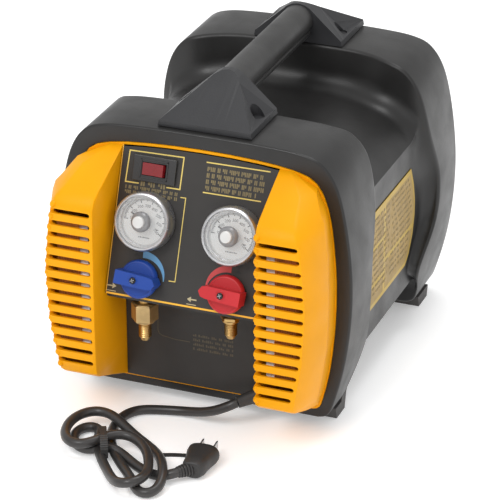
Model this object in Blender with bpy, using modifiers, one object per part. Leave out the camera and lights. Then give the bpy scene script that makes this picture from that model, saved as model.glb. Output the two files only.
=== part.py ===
"""Portable twin-cylinder refrigerant recovery machine, modelled as an assembly of separate pieces.

Units are metres, +Z up, the fascia faces -Y, and the origin is on the floor under the middle of the case.
"""
import math

import bmesh
import bpy
from mathutils import Matrix, Vector

COLLECTION = "refrigerant_recovery_machine"
GAP = 0.0003                      # clearance kept between touching pieces

# ---- case: a dumbbell-shaped moulding -------------------------------------------------------------
FRONT_FACE_Y = -0.1205
REAR_FACE_Y = 0.190
WALL = 0.0032
FACE_ROUND = 0.0022
REAR_ROUND = 0.008
CREST_ROUND = 0.0035
FILLET = 0.020
LEDGE_DEPTH = 0.0024
LEDGE_WIDTH = 0.006
FOOT_INNER_X = 0.092
FOOT_OUTER_X = 0.1212
OUTLINE_STEPS = 2                 # ring points between two outline knots

# Right half of each outline, from the top centre round to the start of the straight bottom, as (x, z).
FLANGE_KNOTS = [(0, .271), (.060, .2703), (.096, .2672), (.1145, .2585), (.1280, .2365), (.1370, .197),
                (.1418, .150), (.1406, .105), (.1352, .065), (.1265, .030), (.1205, .0155), (.111, .0115)]
FASCIA_KNOTS = [(0, .2575), (.050, .256), (.088, .2515), (.108, .2425), (.119, .220), (.1245, .188),
                (.1275, .148), (.1268, .105), (.1225, .062), (.116, .032), (.113, .0235), (.107, .0205)]
WAIST_TOP_KNOTS = [(0, .229), (.050, .2285), (.088, .2235), (.110, .213), (.125, .1975)]
WAIST_SIDE_KNOTS = [(.125, .1975), (.125, .170), (.125, .135), (.125, .100), (.125, .065), (.125, .0485),
                    (.112, .045), (.095, .045)]
# Y of the flanges' inner walls at the same twelve knots.
FRONT_WALL_Y = [-.051, -.050, -.0475, -.041, -.038, -.044, -.062, -.062, -.056, -.073, -.086, -.090]
REAR_WALL_Y = [.120, .1195, .110, .108, .109, .114, .131, .128, .096, .118, .124, .125]

# ---- grille towers --------------------------------------------------------------------------------
TOWER_WALL = 0.0025
TOWER_INNER_X = (0.0741, 0.0755)  # at the case face and at the front
# (z, front y, x of the outer front corner, x of the mid edge, x at the case face)
TOWER_LEVELS = [(.0225, -.1225, .1075, .1085, .1075), (.036, -.154, .1120, .1180, .1155),
                (.047, -.181, .1123, .1215, .1185), (.052, -.187, .1126, .1230, .1195),
                (.062, -.1885, .1145, .1252, .1215), (.101, -.1895, .1210, .1312, .1260),
                (.150, -.1895, .1235, .1326, .1268), (.190, -.1890, .1200, .1312, .1235),
                (.214, -.1880, .1163, .1285, .1195), (.222, -.1835, .1135, .1265, .1170),
                (.2265, -.177, .1100, .1225, .1150), (.240, -.148, .1030, .1130, .1085),
                (.2515, -.1225, .0850, .0860, .0850)]
TOWER_MID_SHARE = 0.53            # how far forward the mid edge stands
SLOT_COUNT = 14
SLOT_TOP_Z = 0.209
SLOT_PITCH = 0.01125
SLOT_HEIGHT = 0.0046
SLOT_BACK_Y = -0.1825
FASCIA_THICK = 0.0028
FASCIA_FRONT_Y = -0.1215

# ---- sloped control panel -------------------------------------------------------------------------
PANEL_TOP = (-0.1225, 0.2545)     # (y, z)
PANEL_LIP = (-0.169, 0.1265)
PANEL_HALF_WIDTH = 0.0737
PANEL_CROWN = [(0, .2545), (.030, .2541), (.055, .2528), (PANEL_HALF_WIDTH, .2512)]   # its top edge, as (x, z)
SHEET = 0.0022
PANEL_LENGTH = math.dist(PANEL_TOP, PANEL_LIP)
PANEL_TILT = math.atan2(PANEL_TOP[1] - PANEL_LIP[1], PANEL_TOP[0] - PANEL_LIP[0])
STATION_X = 0.0414                # gauges, knobs and ports stand on two vertical lines
GAUGE_S = 0.0658                  # distances down the slope from the panel's top edge
KNOB_S = 0.118
SWITCH_X = -0.0405
SWITCH_S = 0.0202
SWITCH_HALF = (0.0205, 0.0115)
SWITCH_BODY_HALF = (0.0170, 0.0092)
ROCKER_HALF = (0.0104, 0.0054)
ROCKER_TILT = math.radians(8)

GAUGE_RADIUS = 0.026
KNOB_RADIUS = 0.017
KNOB_BAR_ANGLE = math.radians(-4)

# ---- recess under the panel, with the ports -------------------------------------------------------
RECESS_WALL_Y = -0.1218           # rear side of the recess wall
RECESS_FLOOR_Z = 0.0228
PORT_Y = -0.156

# ---- handle ---------------------------------------------------------------------------------------
HANDLE_FRONT_Y = -0.0495
HANDLE_REAR_Y = 0.1215
ARCH_CENTRE_Z = 0.2900
ARCH_RADIUS = 0.0192
BRACKET_BASE_Z = 0.2713
BRACKET_SKIRT = 0.0050
BRACKET_HALF_WIDTH = 0.0445
BRACKET_DEPTH = 0.064
GRIP_RADIUS = 0.0150
GRIP_CENTRE_Z = 0.2930

# ---- machinery ------------------------------------------------------------------------------------
SHAFT_Z = 0.125
SHAFT_RADIUS = 0.007
CRANK_THROW = 0.008
PISTON_RADIUS = 0.0170
HALF_STROKE = 0.008

# ---- mains cord -----------------------------------------------------------------------------------
CORD_RADIUS = 0.0045
GLAND_BASE = (0.062, -0.1243, 0.031)
GLAND_TIP = (0.0425, -0.1430, 0.0250)
CORD_ROUTE = [(.033, -.1485, .0205), (.022, -.1495, .0152), (.010, -.1465, .0100),
              (-.004, -.1435, .0062), (-.020, -.1445, .0047), (-.036, -.1490, .0047), (-.050, -.1545, .0047),
              (-.0570, -.1655, .0047), (-.0598, -.1811, .0047)]
HANK_A = (-0.064, -0.218)
HANK_B = (-0.013, -0.264)
HANK_RADIUS = 0.0365
HANK_HEIGHT = 0.0215
RELIEF_START = (0.0290, -0.2520, 0.0090)
RELIEF_END = (0.0400, -0.2400, 0.0098)
PLUG_DIRECTION = (-0.06, 1.0, 0.0)

PLASTIC_BLACK = ((.045, .043, .042), .45, 0)
PLASTIC_YELLOW = ((.98, .50, .010), .40, 0)
PANEL_BLACK = ((.035, .033, .032), .50, 0)
RUBBER = ((.02, .02, .02), .80, 0)
BRASS = ((.50, .30, .10), .35, 1)
STEEL = ((.55, .55, .56), .35, 1)
ALUMINIUM = ((.72, .73, .74), .40, 1)
COPPER = ((.62, .28, .14), .35, 1)
WHITE = ((.85, .84, .82), .50, 0)
CLEAR = ((.90, .92, .93), .08, 0)
BLUE = ((.023, .09, .45), .35, 0)
RED = ((.72, .03, .04), .35, 0)
GOLD_LABEL = ((.47, .33, .08), .55, 0)


# ---- general helpers ------------------------------------------------------------------------------
def start_clean():
    for obj in list(bpy.data.objects):
        bpy.data.objects.remove(obj, do_unlink=True)
    parts = bpy.data.collections.new(COLLECTION)
    cutters = bpy.data.collections.new("cutters")
    for collection in (parts, cutters):
        bpy.context.scene.collection.children.link(collection)
    return parts, cutters


PARTS, CUTTERS = start_clean()


def give_material(obj, finish):
    colour, roughness, metallic = finish
    material = bpy.data.materials.new(obj.name)
    material.use_nodes = True
    shader = material.node_tree.nodes["Principled BSDF"]
    shader.inputs["Base Color"].default_value = (*colour, 1)
    shader.inputs["Roughness"].default_value = roughness
    shader.inputs["Metallic"].default_value = metallic
    obj.data.materials.clear()
    obj.data.materials.append(material)


def place(obj, finish, parent=None):
    """Link the object as a part when it has a finish, and as a hidden cutter when it has none."""
    if finish is None:
        CUTTERS.objects.link(obj)
        obj.hide_render = True
        obj.display_type = "WIRE"
    else:
        PARTS.objects.link(obj)
        give_material(obj, finish)
    if parent is not None:
        obj.parent = parent
    return obj


def mesh_object(name, bm, finish, parent=None, smooth_angle=35):
    mesh = bpy.data.meshes.new(name)
    bm.to_mesh(mesh)
    bm.free()
    mesh.shade_smooth()
    mesh.set_sharp_from_angle(angle=math.radians(smooth_angle))
    return place(bpy.data.objects.new(name, mesh), finish, parent)


def box(name, low, high, finish=None, parent=None, bevel=0.0):
    bm = bmesh.new()
    size = [b - a for a, b in zip(low, high)]
    bmesh.ops.create_cube(bm, size=1, matrix=Matrix.Diagonal((*size, 1)))
    obj = mesh_object(name, bm, finish, parent)
    obj.location = [(a + b) / 2 for a, b in zip(low, high)]
    if bevel:
        modifier = obj.modifiers.new("Bevel", "BEVEL")
        modifier.width = bevel
        modifier.segments = 2
    return obj


def rod(name, radius, start, end, finish=None, parent=None, sides=24, end_radius=None):
    """A cylinder or cone frustum between two points."""
    start, end = Vector(start), Vector(end)
    axis = end - start
    bm = bmesh.new()
    bmesh.ops.create_cone(bm, cap_ends=True, segments=sides, radius1=radius,
                          radius2=radius if end_radius is None else end_radius, depth=axis.length)
    obj = mesh_object(name, bm, finish, parent)
    obj.location = (start + end) / 2
    obj.rotation_euler = axis.to_track_quat("Z", "Y").to_euler()
    return obj


def turned(name, profile, location, finish=None, parent=None, rotation=(0, 0, 0), steps=32, ring=False):
    """Turn an (r, z) profile about local Z. The profile runs down its outer side."""
    mesh = bpy.data.meshes.new(name)
    count = len(profile)
    edges = [(i, i + 1) for i in range(count - 1)]
    if ring:
        edges.append((count - 1, 0))
    mesh.from_pydata([(r, 0, z) for r, z in profile], edges, [])
    obj = place(bpy.data.objects.new(name, mesh), finish, parent)
    obj.location = location
    obj.rotation_euler = rotation
    screw = obj.modifiers.new("Screw", "SCREW")
    screw.steps = steps
    screw.render_steps = steps
    screw.use_merge_vertices = True
    screw.merge_threshold = 0.00001
    return obj


def curve_to_mesh(curve_obj, name, finish, parent=None):
    """Turn a curve object into a closed mesh object at the same place."""
    bpy.context.view_layer.update()
    graph = bpy.context.evaluated_depsgraph_get()
    mesh = bpy.data.meshes.new_from_object(curve_obj.evaluated_get(graph))
    bm = bmesh.new()
    bm.from_mesh(mesh)
    bpy.data.meshes.remove(mesh)
    bmesh.ops.remove_doubles(bm, verts=bm.verts, dist=0.000001)
    bm.transform(curve_obj.matrix_world)
    bpy.data.objects.remove(curve_obj, do_unlink=True)
    return mesh_object(name, bm, finish, parent)


def flat_outline(name, outlines, thickness, centre=(0, 0, 0), rotation=(0, 0, 0), finish=None, parent=None):
    """A flat plate: the first outline is its edge and any others are holes."""
    curve = bpy.data.curves.new(name + "_outline", "CURVE")
    curve.dimensions = "2D"
    curve.fill_mode = "BOTH"
    curve.extrude = thickness / 2
    for outline in outlines:
        spline = curve.splines.new("POLY")
        spline.points.add(len(outline) - 1)
        spline.use_cyclic_u = True
        for point, (x, y) in zip(spline.points, outline):
            point.co = (x, y, 0, 1)
    guide = bpy.data.objects.new(name + "_outline", curve)
    CUTTERS.objects.link(guide)
    guide.location = centre
    guide.rotation_euler = rotation
    return curve_to_mesh(guide, name, finish, parent)


UPRIGHT = (math.radians(90), 0, 0)          # an outline in X and Z, with its thickness along Y
FACING_X = (math.radians(90), 0, math.radians(90))   # an outline in Y and Z, with its thickness along X


def loft(name, rings, finish=None, parent=None, closed=False, smooth_angle=35):
    """Skin a list of equal-sized rings of points, capped at both ends or closed on itself."""
    bm = bmesh.new()
    rows = [[bm.verts.new(point) for point in ring] for ring in rings]
    pairs = list(zip(rows, rows[1:]))
    if closed:
        pairs.append((rows[-1], rows[0]))
    for row, following in pairs:
        for i in range(len(row)):
            j = (i + 1) % len(row)
            bm.faces.new((row[i], row[j], following[j], following[i]))
    if not closed:
        bm.faces.new(rows[0])
        bm.faces.new(rows[-1])
    bmesh.ops.recalc_face_normals(bm, faces=bm.faces)
    return mesh_object(name, bm, finish, parent, smooth_angle)


def combine(target, other, operation):
    modifier = target.modifiers.new(operation.title(), "BOOLEAN")
    modifier.operation = operation
    modifier.object = other
    return target


def cut(target, *others):
    for other in others:
        combine(target, other, "DIFFERENCE")
    return target


def join(target, *others):
    for other in others:
        combine(target, other, "UNION")
    return target


def tube(name, points, radius, finish, resolution=2):
    """A round tube along a smooth line through the points."""
    curve = bpy.data.curves.new(name, "CURVE")
    curve.dimensions = "3D"
    curve.bevel_depth = radius
    curve.bevel_resolution = resolution
    curve.use_fill_caps = True
    spline = curve.splines.new("POLY")
    spline.points.add(len(points) - 1)
    for target, point in zip(spline.points, points):
        target.co = (*point, 1)
    return place(bpy.data.objects.new(name, curve), finish)


# ---- curves through points ------------------------------------------------------------------------
def catmull(before, start, end, after, t):
    return tuple(0.5 * (2 * b + (c - a) * t + (2 * a - 5 * b + 4 * c - d) * t * t
                        + (3 * b - a - 3 * c + d) * t ** 3) for a, b, c, d in zip(before, start, end, after))


def smooth_through(points, steps, before=None, after=None):
    """Points on a smooth curve through the given ones, each span split into steps."""
    first = before or tuple(2 * a - b for a, b in zip(points[0], points[1]))
    last = after or tuple(2 * a - b for a, b in zip(points[-1], points[-2]))
    padded = [first, *points, last]
    result = []
    for i in range(1, len(padded) - 2):
        for step in range(steps):
            result.append(catmull(*padded[i - 1:i + 3], step / steps))
    result.append(tuple(points[-1]))
    return result


def straight_through(points, steps):
    result = []
    for start, end in zip(points, points[1:]):
        for step in range(steps):
            result.append(tuple(a + (b - a) * step / steps for a, b in zip(start, end)))
    result.append(tuple(points[-1]))
    return result


def mirrored_ring(half):
    """Complete a right half outline to a closed ring, with one straight run under the bottom."""
    return half + [(-x, z) for x, z in reversed(half[1:])]


def rounded_ring(knots, steps):
    """Ring for a case outline, smooth from the top centre to the start of the bottom."""
    corner = knots[-1]
    half = smooth_through(knots, steps, before=(-knots[1][0], knots[1][1]), after=(corner[0] - .01, corner[1]))
    return mirrored_ring(half)


def waist_ring(steps):
    top = smooth_through(WAIST_TOP_KNOTS, steps, before=(-WAIST_TOP_KNOTS[1][0], WAIST_TOP_KNOTS[1][1]))
    return mirrored_ring(top + straight_through(WAIST_SIDE_KNOTS, steps)[1:])


def ring_values(values, steps):
    """Spread one number per knot over a ring."""
    half = [v[0] for v in smooth_through([(v,) for v in values], steps)]
    return half + list(reversed(half[1:]))


def inset(ring, distance):
    """Move each point of a ring inward, at right angles to the ring."""
    count = len(ring)
    moved = []
    for i, (x, z) in enumerate(ring):
        before, after = Vector(ring[i - 1]), Vector(ring[(i + 1) % count])
        along = (after - before).normalized()
        moved.append((x + along.y * distance, z - along.x * distance))
    return moved


def toward(ring, target, distance):
    """Move each point of a ring towards the matching point of another."""
    moved = []
    for start, end, step in zip(ring, target, distance):
        start, end = Vector(start), Vector(end)
        moved.append(tuple(start + (end - start).normalized() * step))
    return moved


def at_y(ring, y):
    """Stand a ring of (x, z) at one y, or at one y for each point."""
    ys = y if isinstance(y, list) else [y] * len(ring)
    return [(x, level, z) for (x, z), level in zip(ring, ys)]


def circle(radius, sides, centre=(0, 0), start=0.0):
    return [(centre[0] + radius * math.cos(start + 2 * math.pi * i / sides),
             centre[1] + radius * math.sin(start + 2 * math.pi * i / sides)) for i in range(sides)]


# ---- case -----------------------------------------------------------------------------------------
def fillet_stations(waist, flange, wall_y, direction, radius, offset):
    """The fillet between a flange wall and the waist, shifted into the plastic by offset."""
    stations = []
    for turn in (0, 45, 90):
        angle = math.radians(turn)
        out = [r - (r + offset) * math.sin(angle) for r in radius]
        forward = [r - (r + offset) * math.cos(angle) for r in radius]
        ys = [y + direction * f for y, f in zip(wall_y, forward)]
        stations.append(at_y(toward(waist, flange, out), ys))
    return stations


def case_shell():
    flange = rounded_ring(FLANGE_KNOTS, OUTLINE_STEPS)
    opening = rounded_ring(FASCIA_KNOTS, OUTLINE_STEPS)
    waist = waist_ring(OUTLINE_STEPS)
    front = ring_values(FRONT_WALL_Y, OUTLINE_STEPS)
    rear = ring_values(REAR_WALL_Y, OUTLINE_STEPS)
    radius = [min(FILLET, 0.8 * math.dist(a, b)) for a, b in zip(flange, waist)]
    seat = inset(opening, -0.0004)
    lip = inset(opening, LEDGE_WIDTH)
    crest = [CREST_ROUND] * len(flange)
    half_crest = [0.3 * CREST_ROUND] * len(flange)
    inner_flange = inset(flange, WALL)

    def shifted(ys, distance):
        return [y + distance for y in ys]

    outside = [at_y(lip, FRONT_FACE_Y + LEDGE_DEPTH), at_y(seat, FRONT_FACE_Y + LEDGE_DEPTH),
               at_y(seat, FRONT_FACE_Y),
               at_y(inset(flange, FACE_ROUND), FRONT_FACE_Y),
               at_y(inset(flange, 0.3 * FACE_ROUND), FRONT_FACE_Y + 0.3 * FACE_ROUND),
               at_y(flange, FRONT_FACE_Y + FACE_ROUND),
               at_y(flange, shifted(front, -CREST_ROUND)),
               at_y(toward(flange, waist, half_crest), shifted(front, -0.3 * CREST_ROUND)),
               at_y(toward(flange, waist, crest), front)]
    outside += fillet_stations(waist, flange, front, 1, radius, 0)
    outside += reversed(fillet_stations(waist, flange, rear, -1, radius, 0))
    outside += [at_y(toward(flange, waist, crest), rear),
                at_y(toward(flange, waist, half_crest), shifted(rear, 0.3 * CREST_ROUND)),
                at_y(flange, shifted(rear, CREST_ROUND)),
                at_y(flange, REAR_FACE_Y - REAR_ROUND),
                at_y(inset(flange, 0.3 * REAR_ROUND), REAR_FACE_Y - 0.3 * REAR_ROUND),
                at_y(inset(flange, 0.95 * REAR_ROUND), REAR_FACE_Y),
                at_y(seat, REAR_FACE_Y), at_y(seat, REAR_FACE_Y - LEDGE_DEPTH),
                at_y(lip, REAR_FACE_Y - LEDGE_DEPTH)]
    rear_inside_y = REAR_FACE_Y - LEDGE_DEPTH - WALL
    front_inside_y = FRONT_FACE_Y + LEDGE_DEPTH + WALL
    inside = [at_y(lip, rear_inside_y), at_y(inset(flange, 2.2 * WALL), rear_inside_y),
              at_y(inner_flange, rear_inside_y - WALL), at_y(inner_flange, shifted(rear, WALL))]
    inside += fillet_stations(waist, flange, rear, -1, radius, WALL)
    inside += reversed(fillet_stations(waist, flange, front, 1, radius, WALL))
    inside += [at_y(inner_flange, shifted(front, -WALL)), at_y(inner_flange, front_inside_y),
               at_y(lip, front_inside_y)]
    return loft("case_shell", outside + inside, PLASTIC_BLACK, closed=True, smooth_angle=28)


def rear_cover():
    cover = flat_outline("rear_cover", [rounded_ring(FASCIA_KNOTS, OUTLINE_STEPS)], 0.0020,
                         (0, REAR_FACE_Y - 0.0010, 0), UPRIGHT, PLASTIC_BLACK)
    for side in (-1, 1):
        for row in range(9):
            z = 0.060 + 0.0165 * row
            cut(cover, box(f"louvre_{side}_{row}", (side * .052 - .038, .180, z), (side * .052 + .038, .195, z + .006)))
    return cover


def foot(name, x_sign, profile):
    """A rubber foot under a corner of the case: a (y, z) profile between its inner and outer sides."""
    centre = (x_sign * (FOOT_INNER_X + FOOT_OUTER_X) / 2, 0, 0)
    return flat_outline(name, [profile], FOOT_OUTER_X - FOOT_INNER_X, centre, FACING_X, RUBBER)


def feet():
    """The front feet turn up behind the front flange's legs; the rear ones are plain blocks."""
    top = FLANGE_KNOTS[-1][1] - GAP
    front = [(-.0965, 0), (-.0750, 0), (-.0710, .0160), (-.0665, .0215), (-.0665, .0245), (-.0740, .0245),
             (-.0830, .0150), (-.0840, top), (-.0990, top)]
    rear = [(.1440, 0), (.1690, 0), (.1720, top), (.1410, top)]
    for name, sign in (("left", -1), ("right", 1)):
        foot(f"front_{name}_foot", sign, front)
        foot(f"rear_{name}_foot", sign, rear)


# ---- fascia ---------------------------------------------------------------------------------------
def tower_section(level, side, shrink):
    """One plan section of a grille tower, with its two front corners rounded."""
    z, front, outer, mid, back = level
    front_y = front + shrink
    base_y = FASCIA_FRONT_Y + FASCIA_THICK / 2 + (0.006 if shrink else 0)
    depth = base_y - front_y
    share = max(0.0, min(1.0, depth / 0.068))
    inner_x = TOWER_INNER_X[0] + (TOWER_INNER_X[1] - TOWER_INNER_X[0]) * share + shrink
    inner_base = TOWER_INNER_X[0] + shrink
    radius = 0.0028 * share
    outer_x, mid_x, back_x = outer - shrink, mid - shrink, back - 1.4 * shrink
    points = [(inner_base, base_y), (inner_x, front_y + radius), (inner_x + 0.3 * radius, front_y + 0.3 * radius),
              (inner_x + radius, front_y), (outer_x - 1.4 * radius, front_y),
              (outer_x - 0.35 * radius, front_y + 0.35 * radius), (outer_x + 0.3 * radius, front_y + 1.5 * radius),
              (mid_x, base_y - TOWER_MID_SHARE * depth), (mid_x - 0.0006, base_y - (TOWER_MID_SHARE - .06) * depth),
              (back_x, base_y)]
    return [(side * x, y, z) for x, y in points]


def tower_levels(shrink):
    """The tower's levels, closed in at the top and bottom by the wall when it is the hollow."""
    if not shrink:
        return TOWER_LEVELS
    levels = []
    for z, front, outer, mid, back in TOWER_LEVELS[1:-1]:
        lift = 1.3 * shrink if z < 0.050 else (-1.3 * shrink if z > 0.220 else 0)
        levels.append((z + lift, front, outer, mid, back))
    return levels


def tower(name, side, shrink):
    return loft(name, [tower_section(level, side, shrink) for level in tower_levels(shrink)])


def slot_cutter(index, side):
    """A grille slot: open through the corner on its left, with a round end on its right."""
    z = SLOT_TOP_Z - SLOT_PITCH * index
    bulge = 0.0090 * (1 - ((z - 0.146) / 0.075) ** 2)
    if side < 0:
        left, right = -0.145, -0.0785
    else:
        left, right = 0.066, 0.1125 + bulge
    half = SLOT_HEIGHT / 2
    end = [(right - half + half * math.cos(math.radians(a)), z + half * math.sin(math.radians(a)))
           for a in (-90, -45, 0, 45, 90)]
    outline = [(left, z + half), (left, z - half), *end]
    depth = 0.02
    return flat_outline(f"slot_{side}_{index}", [outline], depth, (0, SLOT_BACK_Y - depth / 2, 0), UPRIGHT)


def front_fascia():
    fascia = flat_outline("front_fascia", [rounded_ring(FASCIA_KNOTS, OUTLINE_STEPS)], FASCIA_THICK,
                          (0, FASCIA_FRONT_Y + FASCIA_THICK / 2, 0), UPRIGHT, PLASTIC_YELLOW)
    for side in (-1, 1):
        join(fascia, tower(f"tower_{side}", side, 0))
    for side in (-1, 1):
        cut(fascia, tower(f"tower_hollow_{side}", side, TOWER_WALL))
    opening = [(x, z + 2 * GAP) for x, z in PANEL_CROWN]
    width = opening[-1][0] + .0005
    outline = [(-width, .0225), (width, .0225), (width, opening[-1][1]), *reversed(opening[:-1])]
    outline += [(-x, z) for x, z in opening[1:-1]] + [(-width, opening[-1][1])]
    cut(fascia, flat_outline("panel_opening", [outline], .012, (0, -.1162, 0), UPRIGHT))
    for side in (-1, 1):
        for index in range(SLOT_COUNT):
            cut(fascia, slot_cutter(index, side))
    return fascia


# ---- control panel --------------------------------------------------------------------------------
def panel_datum():
    """Empty at the panel's top edge: local X across, -Y down the slope, Z out of the panel."""
    datum = bpy.data.objects.new("panel_datum", None)
    PARTS.objects.link(datum)
    datum.location = (0, *PANEL_TOP)
    datum.rotation_euler = (PANEL_TILT, 0, 0)
    return datum


DATUM = panel_datum()


def control_panel():
    top = [(x, (z - PANEL_TOP[1]) / math.sin(PANEL_TILT)) for x, z in PANEL_CROWN]
    outline = [(-PANEL_HALF_WIDTH, -PANEL_LENGTH), (PANEL_HALF_WIDTH, -PANEL_LENGTH), *reversed(top)]
    outline += [(-x, y) for x, y in top[1:]]
    panel = flat_outline("control_panel", [outline], SHEET, (0, 0, -SHEET / 2), finish=PANEL_BLACK)
    panel.parent = DATUM
    cut(panel, box("switch_cutout", (SWITCH_X - SWITCH_BODY_HALF[0] - GAP, -SWITCH_S - SWITCH_BODY_HALF[1] - GAP, -.01),
                   (SWITCH_X + SWITCH_BODY_HALF[0] + GAP, -SWITCH_S + SWITCH_BODY_HALF[1] + GAP, .01), None, DATUM))
    for side in (-1, 1):
        x = side * STATION_X
        cut(panel, rod(f"gauge_hole_{side}", .0145, (x, -GAUGE_S, -.01), (x, -GAUGE_S, .01), None, DATUM))
        cut(panel, rod(f"stem_hole_{side}", .0050, (x, -KNOB_S, -.01), (x, -KNOB_S, .01), None, DATUM))
    return panel


def recess_panel():
    """One bent sheet: the recess wall and the ceiling that carries the ports."""
    ceiling_back = (RECESS_WALL_Y, 0.1208)
    lip = (PANEL_LIP[0] + 0.0036, 0.1245)
    outline = [(RECESS_WALL_Y, RECESS_FLOOR_Z), ceiling_back, lip, (lip[0], lip[1] - SHEET),
               (RECESS_WALL_Y - SHEET, ceiling_back[1] - SHEET), (RECESS_WALL_Y - SHEET, RECESS_FLOOR_Z)]
    width = 2 * PANEL_HALF_WIDTH
    panel = flat_outline("recess_panel", [outline], width, (0, 0, 0), FACING_X, PANEL_BLACK)
    for side in (-1, 1):
        x = side * STATION_X
        cut(panel, rod(f"port_hole_{side}", .0068, (x, PORT_Y, .110), (x, PORT_Y, .130)))
    cut(panel, rod("cord_hole", .0080, (GLAND_BASE[0], -.13, GLAND_BASE[2]), (GLAND_BASE[0], -.11, GLAND_BASE[2])))
    return panel


def switch_housing():
    frame_x, frame_y = SWITCH_HALF
    body_x, body_y = SWITCH_BODY_HALF
    well_x, well_y = ROCKER_HALF[0] + 0.0011, ROCKER_HALF[1] + 0.0006
    housing = box("switch_housing", (SWITCH_X - frame_x, -SWITCH_S - frame_y, GAP),
                  (SWITCH_X + frame_x, -SWITCH_S + frame_y, .0030), PLASTIC_BLACK, DATUM, bevel=.0007)
    join(housing, box("switch_body", (SWITCH_X - body_x, -SWITCH_S - body_y, -.020),
                      (SWITCH_X + body_x, -SWITCH_S + body_y, .0015), None, DATUM))
    cut(housing, box("switch_well", (SWITCH_X - well_x, -SWITCH_S - well_y, -.012),
                     (SWITCH_X + well_x, -SWITCH_S + well_y, .010), None, DATUM))
    return housing


def power_rocker():
    """Rocker on a pivot across the slope, resting with its left end pressed in."""
    half_x, half_y = ROCKER_HALF
    pivot = bpy.data.objects.new("rocker_pivot", None)
    PARTS.objects.link(pivot)
    pivot.parent = DATUM
    pivot.location = (SWITCH_X, -SWITCH_S, -0.001)
    pivot.rotation_euler = (0, -ROCKER_TILT, 0)
    outline = [(-half_x, -.0055), (half_x, -.0055), (half_x, .0056), (0, .0044), (-half_x, .0056)]
    rings = [[(x, y, z) for x, z in outline] for y in (-half_y, half_y)]
    return loft("power_rocker", rings, RED, pivot)


def gauge(prefix, side, needle_angle):
    """Dial gauge: case with a stem through the panel, dial, needle and a clear lens with a raised boss."""
    centre = (side * STATION_X, -GAUGE_S, 0)
    case = [(0, .0058), (.0212, .0058), (.0212, .0112), (.0232, .0112), (.0232, .0174), (.0250, .0174),
            (GAUGE_RADIUS, .0160), (GAUGE_RADIUS, .0006), (.0140, .0006), (.0140, -.0120), (.0060, -.0120),
            (.0060, -.0240), (0, -.0240)]
    turned(f"{prefix}_gauge_case", case, centre, STEEL, DATUM, steps=26)
    turned(f"{prefix}_gauge_dial", [(0, .0071), (.0209, .0071), (.0209, .0061), (0, .0061)], centre, WHITE, DATUM,
           steps=24)
    lens = [(0, .0250), (.0048, .0250), (.0082, .0186), (.0229, .0160), (.0229, .0115), (.0216, .0115),
            (.0216, .0140), (.0060, .0172), (0, .0172)]
    turned(f"{prefix}_gauge_lens", lens, centre, CLEAR, DATUM, steps=24)
    needle = turned(f"{prefix}_gauge_needle", [(0, .0098), (.0028, .0098), (.0028, .0076), (0, .0076)],
                    centre, PLASTIC_BLACK, DATUM, rotation=(0, 0, needle_angle), steps=12)
    pointer = flat_outline(f"{prefix}_pointer", [[(-.0065, -.0010), (.0150, -.0006), (.0150, .0006), (-.0065, .0010)]],
                           0.0008, (0, 0, .0086))
    pointer.parent = needle
    join(needle, pointer)


def valve_knob(prefix, side, finish):
    """Round disc with a finger bar across it; the bar's pointed end shows where the valve stands."""
    x = side * STATION_X
    spindle = bpy.data.objects.new(f"{prefix}_valve_axis", None)
    PARTS.objects.link(spindle)
    spindle.parent = DATUM
    spindle.location = (x, -KNOB_S, 0)
    point = -side
    spindle.rotation_euler = (0, 0, KNOB_BAR_ANGLE)
    disc = [(0, .0085), (.0158, .0085), (KNOB_RADIUS, .0074), (KNOB_RADIUS, .0020), (0, .0020)]
    knob = turned(f"{prefix}_valve_knob", disc, (0, 0, 0), finish, spindle, steps=28)
    tip = [(point * px, py) for px, py in ((-.0180, -.0062), (.0135, -.0056), (.0180, -.0046), (.0208, 0),
                                           (.0180, .0046), (.0135, .0056), (-.0180, .0062))]
    bar = flat_outline(f"{prefix}_knob_bar", [tip], .0160, (0, 0, .0120), finish=None)
    bar.parent = spindle
    join(knob, bar)
    cut(knob, rod(f"{prefix}_knob_bore", .0042, (0, 0, -.004), (0, 0, .0120), None, spindle, sides=14))
    cut(knob, rod(f"{prefix}_knob_screw_hole", .0018, (0, 0, 0), (0, 0, .030), None, spindle, sides=12))
    turned(f"{prefix}_valve_stem", [(0, .0117), (.0038, .0117), (.0038, -.0245), (0, -.0245)], (0, 0, 0),
           BRASS, spindle, steps=14)
    turned(f"{prefix}_knob_screw", [(0, .0216), (.0024, .0214), (.0031, .0204), (.0015, .0204), (.0015, .0122),
                                    (0, .0122)], (0, 0, 0), STEEL, spindle, steps=12)
    return spindle


def hexagon(across_flats, centre):
    return circle(across_flats / math.sqrt(3), 6, centre, math.radians(30))


def valve_body(prefix, side, neck_z):
    """Brass valve body behind the panel, with a neck down through the recess ceiling."""
    x = side * STATION_X
    body = rod(f"{prefix}_valve_body", .0088, (x, -KNOB_S, -.0250), (x, -KNOB_S, -.0040), BRASS, DATUM)
    neck = rod(f"{prefix}_neck", .0062, (x, PORT_Y, neck_z), (x, PORT_Y, .1420), sides=20)
    join(body, neck)
    cut(body, rod(f"{prefix}_stem_bore", .0042, (x, -KNOB_S, -.0248), (x, -KNOB_S, .01), None, DATUM, sides=16))
    return body


def flare_nipple(name, x, top, bottom, hex_height=0.0, hex_flats=0.0):
    """Male flare port: a threaded barrel with a cone nose and an open bore, and a hexagon above it."""
    length = top - bottom
    barrel = [(0, 0), (.0056, 0), (.0056, -length + .0036), (.0048, -length + .0030), (.0034, -length),
              (.0024, -length), (.0024, -.0040), (0, -.0040)]
    nipple = turned(name, barrel, (x, PORT_Y, top), BRASS, steps=24)
    if hex_height:
        centre = (x, PORT_Y, top + hex_height / 2 - .001)
        join(nipple, flat_outline(f"{name}_hex", [hexagon(hex_flats, (0, 0))], hex_height + .002, centre))
    return nipple


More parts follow.
